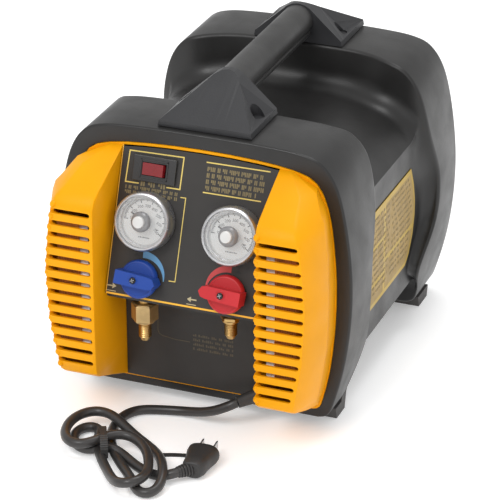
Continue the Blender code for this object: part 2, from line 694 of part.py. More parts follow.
def ports():
    valve_body("inlet", -1, 0.1180)
    valve_body("outlet", 1, 0.1203)
    body = turned("inlet_filter_body", [(0, .0195), (.0085, .0195), (.0105, .0180), (.0105, .0020), (.0085, 0),
                                        (0, 0)], (-STATION_X, PORT_Y, .0982), BRASS, steps=24)
    join(body, flat_outline("filter_hex", [hexagon(.0195, (0, 0))], .0070, (-STATION_X, PORT_Y, .1100)))
    flare_nipple("inlet_flare_nipple", -STATION_X, .0979, .0800)
    flare_nipple("outlet_fitting", STATION_X, .1135, .0985, hex_height=.0065, hex_flats=.0190)


# ---- handle ---------------------------------------------------------------------------------------
def bracket_ring(y, direction, rise, lean=0.0):
    """Ring over the bracket: a half arch on sloping sides at rise 1, almost flat at rise 0."""
    base = BRACKET_BASE_Z
    skirt_z = base + BRACKET_SKIRT
    half = [(BRACKET_HALF_WIDTH, y, base), (BRACKET_HALF_WIDTH - .001, y, skirt_z)]
    for angle, flat_x in ((40, .0235), (52, .0170), (71, .0080), (90, 0)):
        x = ARCH_RADIUS * math.cos(math.radians(angle))
        drop = ARCH_RADIUS * (1 - math.sin(math.radians(angle)))
        z = ARCH_CENTRE_Z + ARCH_RADIUS - drop
        half.append((flat_x + (x - flat_x) * rise, y + direction * lean * drop,
                     skirt_z + .0004 + (z - skirt_z - .0004) * rise))
    return half + [(-x, y, z) for x, y, z in reversed(half[:-1])]


def handle_bracket(name, face_y, direction):
    """Pyramid with an upright back face; the lean keeps its sloping centre panel flat."""
    crest = face_y + direction * 0.006
    toe = face_y + direction * BRACKET_DEPTH
    rings = [bracket_ring(face_y, direction, 1), bracket_ring(crest, direction, 1, lean=1.6),
             bracket_ring(toe, direction, 0)]
    bracket = loft(name, rings, PLASTIC_BLACK, smooth_angle=20)
    for side in (-1, 1):
        x = side * 0.0345
        y = face_y + direction * 0.024
        cut(bracket, rod(f"{name}_pocket_{side}", .0065, (x, y, BRACKET_BASE_Z + .0035), (x, y, .330), sides=20))
    bore_end = face_y + direction * 0.0185
    cut(bracket, rod(f"{name}_bore", .0063, (0, face_y - direction * .002, ARCH_CENTRE_Z), (0, bore_end, ARCH_CENTRE_Z)))
    return bracket


def handle_grip():
    """Round grip with a narrower lip along its underside, slid over the handle bar."""
    start, end = HANDLE_FRONT_Y + GAP, HANDLE_REAR_Y - GAP
    z = GRIP_CENTRE_Z
    upper = [(GRIP_RADIUS * math.cos(math.radians(a)), z + GRIP_RADIUS * math.sin(math.radians(a)))
             for a in range(-30, 211, 15)]
    lip = [(-.0112, z - .0080), (-.0112, z - .0095), (-.0128, z - .0105), (-.0120, z - .0145), (-.0080, z - .0172),
           (0, z - .0182), (.0080, z - .0172), (.0120, z - .0145), (.0128, z - .0105), (.0112, z - .0095),
           (.0112, z - .0080)]
    grip = flat_outline("handle_grip", [upper + lip], end - start, (0, (start + end) / 2, 0), UPRIGHT, RUBBER)
    cut(grip, rod("grip_bore", .0063, (0, start - .002, ARCH_CENTRE_Z), (0, end + .002, ARCH_CENTRE_Z)))
    rod("handle_bar", .0060, (0, HANDLE_FRONT_Y - .018, ARCH_CENTRE_Z), (0, HANDLE_REAR_Y + .018, ARCH_CENTRE_Z), STEEL)
    return grip


# ---- machinery inside -----------------------------------------------------------------------------
def condenser(name, side):
    """Finned core behind a grille, held in a folded aluminium frame with its post towards the panel."""
    post, face, edge = 0.0842, 0.0924, 0.1130
    outline = [(post, .0735), (edge, .0735), (edge, .0760), (face, .0760), (face, .1975), (edge, .1975),
               (edge, .2000), (post, .2000)]
    frame = flat_outline(f"{name}_frame", [[(side * x, z) for x, z in outline]], .040, (0, -.160, 0), UPRIGHT, ALUMINIUM)
    low, high = sorted((side * (face + GAP), side * (edge - .0005)))
    box(f"{name}_core", (low, -.178, .0763), (high, -.142, .1972), ALUMINIUM)
    return frame


def crankcase():
    z = SHAFT_Z
    case = box("crankcase", (-.045, -.040, z - .040), (.045, .025, z + .040), ALUMINIUM)
    join(case, box("crankcase_foot", (-.032, -.036, .0509), (.032, .021, z - .035)))
    cut(case, box("crank_room", (-.0385, -.045, z - .031), (.0385, .018, z + .031)))
    cut(case, rod("shaft_bore", SHAFT_RADIUS + .0006, (0, .010, z), (0, .030, z)))
    cut(case, rod("piston_bore", PISTON_RADIUS + .0008, (-.050, -.014, z), (.050, -.014, z)))
    return case


def cylinder(name, side):
    z = SHAFT_Z
    body = rod(f"{name}_cylinder", .025, (side * .0453, -.014, z), (side * .0920, -.014, z), ALUMINIUM, sides=28)
    cut(body, rod(f"{name}_cylinder_bore", PISTON_RADIUS + .0008, (side * .040, -.014, z), (side * .095, -.014, z)))
    low, high = sorted((side * .0923, side * .1120))
    box(f"{name}_cylinder_head", (low, -.042, z - .028), (high, .014, z + .028), ALUMINIUM)


def piston_yoke():
    """Scotch yoke: a window round the crank pin, with a rod and piston on each side."""
    y, z = -.014, SHAFT_Z
    yoke = box("piston_yoke", (-.029, y - .004, z - .019), (.029, y + .004, z + .019), STEEL)
    cut(yoke, box("yoke_window", (-.0225, y - .010, z - .0138), (.0225, y + .010, z + .0138)))
    for side in (-1, 1):
        join(yoke, rod(f"piston_rod_{side}", .0038, (side * .0260, y, z), (side * .0580, y, z), sides=16))
        join(yoke, rod(f"piston_{side}", PISTON_RADIUS, (side * .0560, y, z), (side * .0760, y, z), sides=24))
    return yoke


def crank_shaft():
    """Shaft through motor and fan, with the crank web and pin on its front end."""
    z = SHAFT_Z
    shaft = rod("crank_shaft", SHAFT_RADIUS, (0, -.006, z), (0, .166, z), STEEL, sides=20)
    join(shaft, rod("crank_web", .0160, (0, -.0085, z), (0, -.0040, z), sides=24))
    join(shaft, rod("crank_pin", .0048, (0, -.0185, z + CRANK_THROW), (0, -.0060, z + CRANK_THROW), sides=16))
    return shaft


def motor():
    """Motor can with its stator in one ring, and the rotor pressed on the shaft."""
    centre, facing = (0, .082, SHAFT_Z), (math.radians(90), 0, 0)
    half, shaft_hole = .048, SHAFT_RADIUS + .0015
    inner = half - .006
    can = [(shaft_hole, half), (.055, half), (.055, -half), (shaft_hole, -half), (shaft_hole, -inner),
           (.0315, -inner), (.0315, inner), (shaft_hole, inner)]
    turned("motor_housing", can, centre, PLASTIC_BLACK, rotation=facing, steps=26, ring=True)
    bore = SHAFT_RADIUS + GAP
    rotor = [(bore, .036), (.0305, .036), (.0305, -.036), (bore, -.036)]
    turned("motor_rotor", rotor, centre, STEEL, rotation=facing, steps=18, ring=True)
    cradle = box("motor_cradle", (-.040, .052, .0509), (.040, .112, .084), STEEL)
    return cut(cradle, rod("cradle_seat", .0553, (0, .040, SHAFT_Z), (0, .125, SHAFT_Z), sides=36))


def fan():
    z = SHAFT_Z
    hub = rod("cooling_fan", .017, (0, .1450, z), (0, .1620, z), PLASTIC_BLACK, sides=24)
    for blade_index in range(5):
        angle = math.radians(72 * blade_index)
        blade = box(f"fan_blade_{blade_index}", (.012, -.017, -.0011), (.072, .017, .0011))
        pitch = Matrix.Rotation(math.radians(68), 4, "X")
        spin = Matrix.Rotation(angle, 4, "Y")
        middle = Vector((.042, 0, 0))
        blade.matrix_world = Matrix.Translation((0, .1535, z)) @ spin @ Matrix.Translation(middle) @ pitch
        join(hub, blade)
    cut(hub, rod("fan_bore", SHAFT_RADIUS + GAP, (0, .140, z), (0, .170, z), sides=20))
    half = .088
    corner = .012
    square = [(half - corner, -half), (half, -half + corner), (half, half - corner), (half - corner, half),
              (-half + corner, half), (-half, half - corner), (-half, -half + corner), (-half + corner, -half)]
    ring = [(x, y + z) for x, y in square]
    flat_outline("fan_shroud", [ring, circle(.078, 36, (0, z))], .003, (0, .1560, 0), UPRIGHT, STEEL)
    return hub


def machinery():
    box("base_plate", (-.112, -.045, .0486), (.112, .118, .0506), STEEL)
    for name, side in (("left", -1), ("right", 1)):
        condenser(f"{name}_condenser", side)
        cylinder(name, side)
    crankcase()
    piston_yoke()
    crank_shaft()
    motor()
    fan()
    rod("run_capacitor", .018, (-.088, .030, .0720), (-.088, .100, .0720), ALUMINIUM)
    suction = [(-.0414, -.1340, .1335), (-.044, -.122, .132), (-.060, -.108, .140), (-.080, -.090, .158),
               (-.096, -.062, .172), (-.102, -.032, .172), (-.102, -.016, .164), (-.102, -.014, .1535)]
    discharge = [(.102, -.014, .1535), (.102, -.016, .164), (.102, -.034, .176), (.102, -.066, .184),
                 (.102, -.100, .186), (.103, -.126, .186), (.103, -.1415, .186)]
    tube("suction_line", smooth_through(suction, 3), .0032, COPPER)
    tube("discharge_line", smooth_through(discharge, 3), .0032, COPPER)


def side_label():
    """Thin printed label on the right side of the waist, kept clear of the flanges' fillets."""
    rear = [(.080, .075), (.091, .083), (.1010, .099), (.1060, .117), (.1060, .133), (.1015, .151), (.0920, .171)]
    front = [(-.0210, .171), (-.0300, .155), (-.0380, .138), (-.0390, .110), (-.0340, .075)]
    return flat_outline("side_label", [rear + front], .0006, (.1256, 0, 0), FACING_X, GOLD_LABEL)


# ---- mains cord -----------------------------------------------------------------------------------
def hank_outline(steps=8):
    """Outline with round ends round the folded cord."""
    a, b = Vector(HANK_A), Vector(HANK_B)
    heading = math.atan2(b.y - a.y, b.x - a.x)
    points = []
    for centre, start in ((b, heading - math.pi / 2), (a, heading + math.pi / 2)):
        for i in range(steps + 1):
            angle = start + math.pi * i / steps
            points.append((centre.x + HANK_RADIUS * math.cos(angle), centre.y + HANK_RADIUS * math.sin(angle)))
    return points


def mains_cord():
    tip, base = Vector(GLAND_TIP), Vector(GLAND_BASE)
    sleeve_base = base + Vector((0, -.003, 0))
    heading = (tip - sleeve_base).normalized()
    wall_y = RECESS_WALL_Y - SHEET - GAP
    gland = rod("cord_gland", .0105, (base.x, wall_y, base.z), (base.x, wall_y - .005, base.z), RUBBER, sides=20)
    join(gland, rod("gland_sleeve", .0075, sleeve_base, tip, end_radius=.0054, sides=16))
    join(gland, rod("gland_neck", .0074, (base.x, RECESS_WALL_Y + .003, base.z), (base.x, wall_y - .003, base.z),
                    sides=16))
    start, straight = tip + heading * 3 * GAP, tip + heading * .0035
    route = [tuple(start), tuple(straight)] + CORD_ROUTE
    tube("cord_lead", smooth_through(route, 3), CORD_RADIUS, RUBBER)
    flat_outline("cord_hank", [hank_outline()], HANK_HEIGHT, (0, 0, HANK_HEIGHT / 2 + .0002), finish=RUBBER)


def mains_plug():
    """Three-pin plug lying on the floor, with a tapered sleeve that meets its body at an angle."""
    start, end, along = Vector(RELIEF_START), Vector(RELIEF_END), Vector(PLUG_DIRECTION).normalized()
    across = Vector((along.y, -along.x, 0))
    plug = rod("mains_plug", .0052, start, end, RUBBER, end_radius=.0072, sides=16)
    rings = []
    for distance, wide, high in ((-.006, .0085, .0080), (0, .0120, .0092), (.024, .0145, .0095), (.028, .0135, .0088)):
        centre = end + along * distance
        corners = [(math.cos(math.radians(a)), math.sin(math.radians(a))) for a in range(0, 360, 30)]
        rings.append([centre + across * (wide * c) + Vector((0, 0, high * s)) for c, s in corners])
    join(plug, loft("plug_body", rings))
    for offset in (-.0064, .0064):
        blade = box(f"plug_blade_{offset}", (-.0008, 0, -.0032), (.0008, .022, .0032))
        blade.location = end + along * .036 + across * offset
        blade.rotation_euler = (0, 0, math.atan2(along.y, along.x) - math.pi / 2)
        join(plug, blade)
    earth = end + Vector((0, 0, -.0045))
    join(plug, rod("plug_earth_pin", .0023, earth + along * .020, earth + along * .050, sides=12))


def build():
    case_shell()
    rear_cover()
    feet()
    front_fascia()
    control_panel()
    recess_panel()
    switch_housing()
    power_rocker()
    gauge("inlet", -1, math.radians(155))
    gauge("outlet", 1, math.radians(155))
    valve_knob("inlet", -1, BLUE)
    valve_knob("outlet", 1, RED)
    ports()
    handle_bracket("front_handle_bracket", HANDLE_FRONT_Y, -1)
    handle_bracket("rear_handle_bracket", HANDLE_REAR_Y, 1)
    handle_grip()
    machinery()
    side_label()
    mains_cord()
    mains_plug()


build()
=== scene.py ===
"""Looks of the portable refrigerant recovery machine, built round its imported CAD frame."""

from math import atan2, copysign, cos, dist, pi, radians, sin, sqrt

import bmesh
import bpy
from mathutils import Matrix, Vector


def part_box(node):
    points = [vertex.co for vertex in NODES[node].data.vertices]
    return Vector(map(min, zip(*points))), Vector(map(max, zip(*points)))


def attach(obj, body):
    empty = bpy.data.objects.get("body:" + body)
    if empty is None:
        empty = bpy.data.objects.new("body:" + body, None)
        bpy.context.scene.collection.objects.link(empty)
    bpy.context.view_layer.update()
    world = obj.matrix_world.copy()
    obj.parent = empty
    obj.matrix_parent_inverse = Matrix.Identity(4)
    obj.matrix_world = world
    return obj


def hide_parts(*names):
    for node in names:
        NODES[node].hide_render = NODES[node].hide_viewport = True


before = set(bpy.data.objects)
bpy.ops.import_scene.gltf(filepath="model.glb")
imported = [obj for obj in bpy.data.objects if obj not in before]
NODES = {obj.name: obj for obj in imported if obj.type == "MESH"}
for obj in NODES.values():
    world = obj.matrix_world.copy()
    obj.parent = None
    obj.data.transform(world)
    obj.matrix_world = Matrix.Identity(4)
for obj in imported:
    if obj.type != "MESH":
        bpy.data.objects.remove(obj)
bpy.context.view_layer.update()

# ---- colours, linear ----
BLACK = (.0155, .015, .0147)
DARK_PANEL = (.027, .0245, .0225)
YELLOW = (.8, .335, .001)
CREAM = (.66, .5, .13)
DULL_PRINT = (.2, .155, .07)
BRASS = (.5, .33, .13)
STEEL = (.5, .5, .51)
ALUMINIUM = (.66, .66, .67)
DIAL_WHITE = (.63, .63, .62)
INK = (.012, .012, .012)
BLUE = (.009, .052, .3)
LIGHT_BLUE = (.13, .33, .56)
RED = (.46, .017, .023)
CRESCENT_RED = (.47, .045, .045)
GOLD = (.46, .305, .04)
RUBBER = (.026, .0245, .0238)
BRACKET_GREY = (.025, .0252, .0272)
FOOT_GREY = (.06, .056, .054)
GRIP_BLACK = (.026, .0255, .025)
CORD_BLACK = (.031, .0285, .0275)
GLOSS_BLACK = (.03, .029, .029)
DARK_STEEL = (.05, .05, .05)
COPPER = (.62, .28, .14)
CAST_BRASS = (.47, .33, .155)
FIN_ORANGE = (.8, .35, .1)
LENS_TINT = (.95, .96, .97)
BOSS_GREY = (.2, .2, .205)
BUTTON_WHITE = (.58, .58, .57)
DIAL_INK = (.012, .012, .014)
ROCKER_RED = (.2, .008, .012)
LABEL_TAN = (.33, .215, .055)
LABEL_INK = (.21, .145, .045)
BORDER_ORANGE = (.8, .42, .03)
DIM_CREAM = (.42, .36, .21)
FAINT_PRINT = (.085, .068, .04)

# ---- panel, in its own coordinates: x across, s down the slope, h out of it ----
PANEL_TOP = Vector((0, -.1225, .2545))
PANEL_LIP = Vector((0, -.169, .1265))
PANEL_TILT = atan2(PANEL_TOP.z - PANEL_LIP.z, PANEL_TOP.y - PANEL_LIP.y)
PANEL = Matrix.Translation(PANEL_TOP) @ Matrix.Rotation(PANEL_TILT, 4, "X")
STATION_X = .0414
GAUGE_S = .0658
KNOB_S = .118
SWITCH_X = -.0405
SWITCH_S = .0202
PORT_Y = -.156
RECESS_FACE_Y = -.124
REAR_FACE_Y = .19
LABEL_FACE_X = .1259
# Case outlines as (x, z) from the top centre down the right side, and its flange walls' y at the same knots.
FLANGE = [(0, .271), (.06, .2703), (.096, .2672), (.1145, .2585), (.128, .2365), (.137, .197),
          (.1418, .15), (.1406, .105), (.1352, .065), (.1265, .03), (.1205, .0155), (.111, .0115)]
OPENING = [(0, .2575), (.05, .256), (.088, .2515), (.108, .2425), (.119, .22), (.1245, .188),
           (.1275, .148), (.1268, .105), (.1225, .062), (.116, .032), (.113, .0235), (.107, .0205)]
WAIST_TOP = [(0, .229), (.05, .2285), (.088, .2235), (.11, .213), (.125, .1975)]
WAIST_SIDE = [(.125, .1975), (.125, .17), (.125, .135), (.125, .1), (.125, .065), (.125, .0485),
              (.112, .045), (.095, .045)]
FRONT_WALL = [-.051, -.05, -.0475, -.041, -.038, -.044, -.062, -.062, -.056, -.073, -.086, -.09]
REAR_WALL = [.12, .1195, .11, .108, .109, .114, .131, .128, .096, .118, .124, .125]
FRONT_FACE_Y = -.1205
CASE_WALL = .0032
FACE_ROUND = .0022
REAR_ROUND = .008
CREST_ROUND = .0035
FILLET = .02
FILLET_STEPS = 9
CASE_STEPS = 6
ROUND_STEPS = 5
CREST_STEPS = 4
LEDGE_DEPTH = .0024
LEDGE_WIDTH = .006
SEAT_GAP = .0004
RIM_WALL = 2.2 * CASE_WALL  # the case is thicker beside its two openings

SLOT_COUNT = 14
SLOT_TOP_Z = .209
SLOT_PITCH = .01125
SLOT_HEIGHT = .0046
LOBE_Y = -.184
# The left tower's front corner, as (z, distance from the middle).
LEFT_CORNER = [(.04, .1123), (.052, .1126), (.062, .1145), (.101, .121), (.15, .1235), (.19, .12),
               (.214, .1163), (.222, .1135)]
RIGHT_CORNER_X = .0755
# Tan areas of the side label, as (y, z) in millimetres.
LABEL_BLOCKS = [[(-26, 156), (-34, 136), (14, 136), (14, 162), (-23, 162)],
                [(19, 166), (19, 112), (99, 112), (103, 120), (103, 132), (98, 150), (90, 166)],
                [(-36, 131), (-37, 111), (-35, 100), (14, 100), (14, 131)],
                [(-34, 95), (-32, 79), (14, 79), (14, 95)],
                [(19, 107), (19, 79), (80, 79), (89, 85), (98, 100), (99, 107)]]
PRINT_LOW = -.0001  # a print's lower and upper faces above the surface that carries it
PRINT_HIGH = .00014
BLOCK_HIGH = .00004  # the label's tan areas lie under its small print

# Printed lines on the panel, as (x, s) in millimetres.
SWITCH_FRAME = [(-54.5, 34.2), (-67.3, 34.4), (-66.3, 6.3), (-14.8, 5.4), (-15.2, 33.9), (-28, 34.0)]
NOTICE_TOP = [(6.7, 6.3), (66.5, 5.9)]
NOTICE_BOTTOM = [(6.5, 33), (61.2, 32.9)]
DIVIDER = [(-13.8, 40.7), (-8.7, 40.6), (-9.2, 115.6), (-15.3, 115.7)]
# The printed line on the recess wall, as (x, z) in millimetres.
RECESS_LINE = [(-42.5, 92.0), (-42.8, 73.5), (-41.6, 70.2), (-38.5, 68.4), (-26, 66.8), (-11.3, 66.8)]

# ---- gauges: profiles as (radius, height above the panel) ----
DIAL_PRINT = (.00705, .00725)  # lower and upper face of the dial's marks
TICKS = 60
TICK_START = 180
TICK_SWEEP = 214
TICK_OUTER = .0202
LONG_TICK, MIDDLE_TICK, SHORT_TICK = .0163, .0175, .0184
FIGURES = 8
FIGURE_START = 176
FIGURE_STEP = 30
FIGURE_RADIUS = .0136
FIGURE_LEAN = .35
DIAL_SURROUND = [(.0206, .0072), (.0209, .0072), (.0231, .0122), (.0231, .013), (.0226, .013)]
LENS_DISC = [(.0229, .0133), (.0229, .016), (.009, .0172), (.009, .0166), (.0214, .0154), (.0214, .0133)]
LENS_BOSS = [(.0091, .016), (.0093, .018), (.0086, .0196), (.0072, .0212), (.0056, .022), (.0056, .019),
             (.007, .016)]
LENS_BUTTON = [(0, .0165), (.0054, .0165), (.0054, .024), (.005, .0247), (.004, .025), (0, .025)]
BEZEL = [(.0262, .001), (.0262, .0048), (.0266, .0054), (.0266, .014), (.0262, .0158), (.0252, .0172),
         (.024, .0176), (.0233, .0172), (.0231, .015), (.025, .014), (.0255, .001)]

# ---- knobs, condensers and screws ----
KNOB_RIM = [(.017, .0024), (.0174, .003), (.0174, .0066), (.0168, .0078), (.016, .0087), (.015, .0089),
            (.015, .008), (.0165, .006)]
SCREW_SEAT = [(.0032, .0198), (.004, .0202), (.0044, .0204), (.0048, .0202), (.0048, .0198)]
FIN_REACH = .0055  # how far the fins stand forward of their frame
FIN_COUNT = 13
FIN_THICKNESS = .0003
TUBE_RADIUS = .0026
COVER_SCREWS = [(-.098, .225), (0, .246), (.098, .225), (-.114, .14), (.114, .14), (-.104, .045),
                (0, .032), (.104, .045)]
SCREW_HEAD = [(.0014, -.0004), (.004, -.0004), (.004, .0006), (.0034, .0014), (.0022, .0018),
              (.0014, .0018)]

# ---- smooth shading ----
SOFT_NODES = """handle_grip inlet_valve_knob outlet_valve_knob inlet_knob_screw outlet_knob_screw
    inlet_gauge_case outlet_gauge_case handle_bar inlet_valve_stem outlet_valve_stem cord_gland cooling_fan
    motor_housing left_cylinder right_cylinder crankcase run_capacitor suction_line discharge_line"""
SOFT_ANGLE = 32
FASCIA_ANGLE = 38
WELD_DISTANCE = .00001


# ---- camera ----
def new_object(name, data):
    obj = bpy.data.objects.new(name, data)
    bpy.context.scene.collection.objects.link(obj)
    return obj


def make_camera():
    data = bpy.data.cameras.new("camera")
    data.lens = 194.4
    data.sensor_width = 36
    camera = new_object("camera", data)
    camera.location = (.826872, -2.123996, 1.212289)
    camera.rotation_euler = (radians(64.1), 0, radians(21.3))
    bpy.context.scene.camera = camera


# ---- materials ----
def new_material(name):
    material = bpy.data.materials.new(name)
    material.use_nodes = True
    nodes = material.node_tree.nodes
    return material, nodes, material.node_tree.links, nodes["Principled BSDF"]


def noise(nodes, links, coordinates, scale, detail=3.0, rough=.5):
    texture = nodes.new("ShaderNodeTexNoise")
    texture.inputs["Scale"].default_value = scale
    texture.inputs["Detail"].default_value = detail
    texture.inputs["Roughness"].default_value = rough
    links.new(coordinates, texture.inputs["Vector"])
    return texture.outputs["Fac"]


def ramp(nodes, links, factor, low, high, low_at=.35, high_at=.65):
    """Blend between two colours as the factor rises."""
    blend = nodes.new("ShaderNodeValToRGB")
    blend.color_ramp.elements[0].position = low_at
    blend.color_ramp.elements[1].position = high_at
    blend.color_ramp.elements[0].color = (*low, 1)
    blend.color_ramp.elements[1].color = (*high, 1)
    links.new(factor, blend.inputs["Fac"])
    return blend.outputs["Color"]


def spread(nodes, links, factor, low, high):
    """Map a noise factor to a range of values."""
    mapping = nodes.new("ShaderNodeMapRange")
    mapping.inputs["From Min"].default_value = .3
    mapping.inputs["From Max"].default_value = .7
    mapping.inputs["To Min"].default_value = low
    mapping.inputs["To Max"].default_value = high
    links.new(factor, mapping.inputs["Value"])
    return mapping.outputs["Result"]


def surface(name, colour, roughness, metallic=0.0, grain=900.0, depth=.00012, tone=.14, coat=0.0,
            patches=14.0, specular=.5):
    """A moulded, painted or metal surface: slow tone and gloss changes and a fine grain."""
    material, nodes, links, shader = new_material(name)
    coordinates = nodes.new("ShaderNodeTexCoord").outputs["Object"]
    slow = noise(nodes, links, coordinates, patches)
    light = tuple(min(1, c * (1 + tone)) for c in colour)
    dark = tuple(c * (1 - tone) for c in colour)
    links.new(ramp(nodes, links, slow, dark, light), shader.inputs["Base Color"])
    gloss = noise(nodes, links, coordinates, patches * 2.7)
    rough = spread(nodes, links, gloss, roughness * .85, min(1, roughness * 1.2))
    links.new(rough, shader.inputs["Roughness"])
    bump = nodes.new("ShaderNodeBump")
    bump.inputs["Strength"].default_value = .6
    bump.inputs["Distance"].default_value = depth
    links.new(noise(nodes, links, coordinates, grain, 2), bump.inputs["Height"])
    links.new(bump.outputs["Normal"], shader.inputs["Normal"])
    shader.inputs["Metallic"].default_value = metallic
    shader.inputs["Specular IOR Level"].default_value = specular
    shader.inputs["Coat Weight"].default_value = coat
    shader.inputs["Coat Roughness"].default_value = .15
    return material


def printed(name, colour, roughness, tone=.1, depth=.00003, patches=14.0):
    return surface(name, colour, roughness, grain=1400, depth=depth, tone=tone, patches=patches)


def clear(name, colour, alpha, roughness=.06):
    material, _, _, shader = new_material(name)
    shader.inputs["Base Color"].default_value = (*colour, 1)
    shader.inputs["Roughness"].default_value = roughness
    shader.inputs["Alpha"].default_value = alpha
    shader.inputs["Coat Weight"].default_value = 1
    shader.inputs["Coat Roughness"].default_value = .04
    return material


MATERIALS = {
    "case": surface("case_plastic", BLACK, .36, grain=700, depth=.00013, tone=.16, specular=.4),
    "bracket": surface("bracket_plastic", BRACKET_GREY, .46, grain=700, depth=.00016, specular=.42),
    "foot": surface("foot_rubber", FOOT_GREY, .6, grain=700, depth=.0002),
    "yellow": surface("fascia_plastic", YELLOW, .42, grain=650, depth=.0001, tone=.05, specular=.14),
    "panel": surface("panel_print", DARK_PANEL, .5, grain=1400, depth=.00005, tone=.1, specular=.42),
    "rubber": surface("soft_rubber", RUBBER, .5, grain=900, depth=.0001),
    "grip": surface("grip_rubber", GRIP_BLACK, .46, grain=1100, depth=.00009),
    "cord": surface("cord_jacket", CORD_BLACK, .36, grain=500, depth=.0001, tone=.2, patches=30),
    "brass": surface("machined_brass", BRASS, .33, metallic=1, grain=1800, depth=.00006, tone=.12,
                     patches=60),
    "steel": surface("plain_steel", STEEL, .3, metallic=1, grain=1800, depth=.00004),
    "dark_steel": surface("dark_steel", DARK_STEEL, .35, metallic=1, grain=1500, depth=.00006),
    "aluminium": surface("folded_aluminium", ALUMINIUM, .38, metallic=1, grain=1500, depth=.00008,
                         patches=40),
    "copper": surface("drawn_copper", COPPER, .35, metallic=1),
    "dial": surface("dial_enamel", DIAL_WHITE, .45, grain=1500, depth=.00002, tone=.02),
    "lens": clear("clear_lens", LENS_TINT, .1),
    "boss": surface("lens_boss", BOSS_GREY, .3, grain=1500, depth=.00002, tone=.05, coat=.6),
    "boss_top": surface("lens_button", BUTTON_WHITE, .4, grain=1500, depth=.00002, tone=.03, coat=.6),
    "blue": surface("blue_plastic", BLUE, .36, grain=900, depth=.00008, tone=.08, specular=.4),
    "red": surface("red_plastic", RED, .38, grain=900, depth=.00008, tone=.08, specular=.4),
    "rocker": surface("rocker_plastic", ROCKER_RED, .25, grain=900, depth=.00006, coat=.4),
    "cream": printed("cream_print", CREAM, .55),
    "dull": printed("dull_print", DULL_PRINT, .6),
    "light_blue": printed("light_blue_print", LIGHT_BLUE, .5, tone=.14),
    "red_print": printed("red_print", CRESCENT_RED, .5, tone=.14),
    "ink": printed("dial_ink", INK, .6, tone=.14, depth=.00002),
    "label": printed("label_film", GOLD, .45),
    "label_block": printed("label_block_print", LABEL_TAN, .5, tone=.12, patches=60),
    "label_ink": printed("label_ink", LABEL_INK, .5),
    "border": printed("border_print", BORDER_ORANGE, .5, tone=.06),
    "dim_cream": printed("dim_cream_print", DIM_CREAM, .55),
    "faint": printed("faint_print", FAINT_PRINT, .6),
    "dial_ink": printed("dial_ink_print", DIAL_INK, .6, tone=.05, depth=.00002),
    "bezel": surface("polished_bezel", STEEL, .27, metallic=.9, grain=1600, depth=.00003, tone=.04),
    "pale_brass": surface("cast_brass", CAST_BRASS, .44, metallic=.9, grain=1300, depth=.0001, patches=80),
    "fins": surface("condenser_fins", FIN_ORANGE, .6, grain=1300, depth=.00008, patches=50),
    "gloss_black": surface("gloss_black_plastic", GLOSS_BLACK, .28, grain=900, depth=.00005),
}

NODE_FINISH = {
    "case": "case_shell rear_cover cooling_fan",
    "gloss_black": "switch_housing",
    "bracket": "front_handle_bracket rear_handle_bracket",
    "yellow": "front_fascia",
    "panel": "control_panel recess_panel",
    "foot": "front_left_foot front_right_foot rear_left_foot rear_right_foot",
    "rubber": "cord_gland",
    "grip": "handle_grip",
    "cord": "cord_lead cord_hank",
    "brass": "inlet_valve_stem outlet_valve_stem inlet_valve_body outlet_valve_body",
    "steel": "inlet_gauge_case outlet_gauge_case handle_bar base_plate piston_yoke crank_shaft motor_rotor "
             "motor_cradle fan_shroud",
    "dark_steel": "inlet_knob_screw outlet_knob_screw motor_housing",
    "aluminium": "left_condenser_frame right_condenser_frame left_cylinder right_cylinder left_cylinder_head "
                 "right_cylinder_head crankcase run_capacitor",
    "copper": "suction_line discharge_line",
    "dial": "inlet_gauge_dial outlet_gauge_dial",
    "ink": "inlet_gauge_needle outlet_gauge_needle",
    "blue": "inlet_valve_knob",
    "red": "outlet_valve_knob",
    "rocker": "power_rocker",
    "label": "side_label",
}


def soften(name, angle):
    """Smooth shading across a node's shallow folds; its shape is untouched."""
    node = NODES[name]
    mesh = node.data
    if "custom_normal" in mesh.attributes:
        mesh.attributes.remove(mesh.attributes["custom_normal"])
    mesh.shade_smooth()
    weld = node.modifiers.new("weld", "WELD")
    weld.merge_threshold = WELD_DISTANCE
    split = node.modifiers.new("split", "EDGE_SPLIT")
    split.split_angle = radians(angle)


def finish_nodes():
    for key, names in NODE_FINISH.items():
        for name in names.split():
            node = NODES[name]
            node.data.materials.clear()
            node.data.materials.append(MATERIALS[key])


# ---- making pieces ----
def piece(name, bm, finish, body="case", sharp=30):
    mesh = bpy.data.meshes.new(name)
    bmesh.ops.recalc_face_normals(bm, faces=bm.faces)
    bm.to_mesh(mesh)
    bm.free()
    mesh.shade_smooth()
    mesh.set_sharp_from_angle(angle=radians(sharp))
    mesh.materials.append(MATERIALS[finish])
    obj = new_object(name, mesh)
    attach(obj, body)
    return obj


def add_loft(bm, rings, caps=True, closed=False):
    """Skin equal rings of points in the mesh."""
    rows = [[bm.verts.new(point) for point in ring] for ring in rings]
    pairs = list(zip(rows, rows[1:]))
    if closed:
        pairs.append((rows[-1], rows[0]))
    for row, following in pairs:
        for i in range(len(row)):
            j = (i + 1) % len(row)
            bm.faces.new((row[i], row[j], following[j], following[i]))
    if caps and not closed:
        bm.faces.new(list(reversed(rows[0])))
        bm.faces.new(rows[-1])


def catmull(a, b, c, d, t):
    """A point between b and c on the smooth curve through a, b, c and d."""
    point = []
    for p, q, r, s in zip(a, b, c, d):
        linear = (r - p) * t
        square = (2 * p - 5 * q + 4 * r - s) * t * t
        cubic = (3 * q - p - 3 * r + s) * t ** 3
        point.append(.5 * (2 * q + linear + square + cubic))
    return tuple(point)


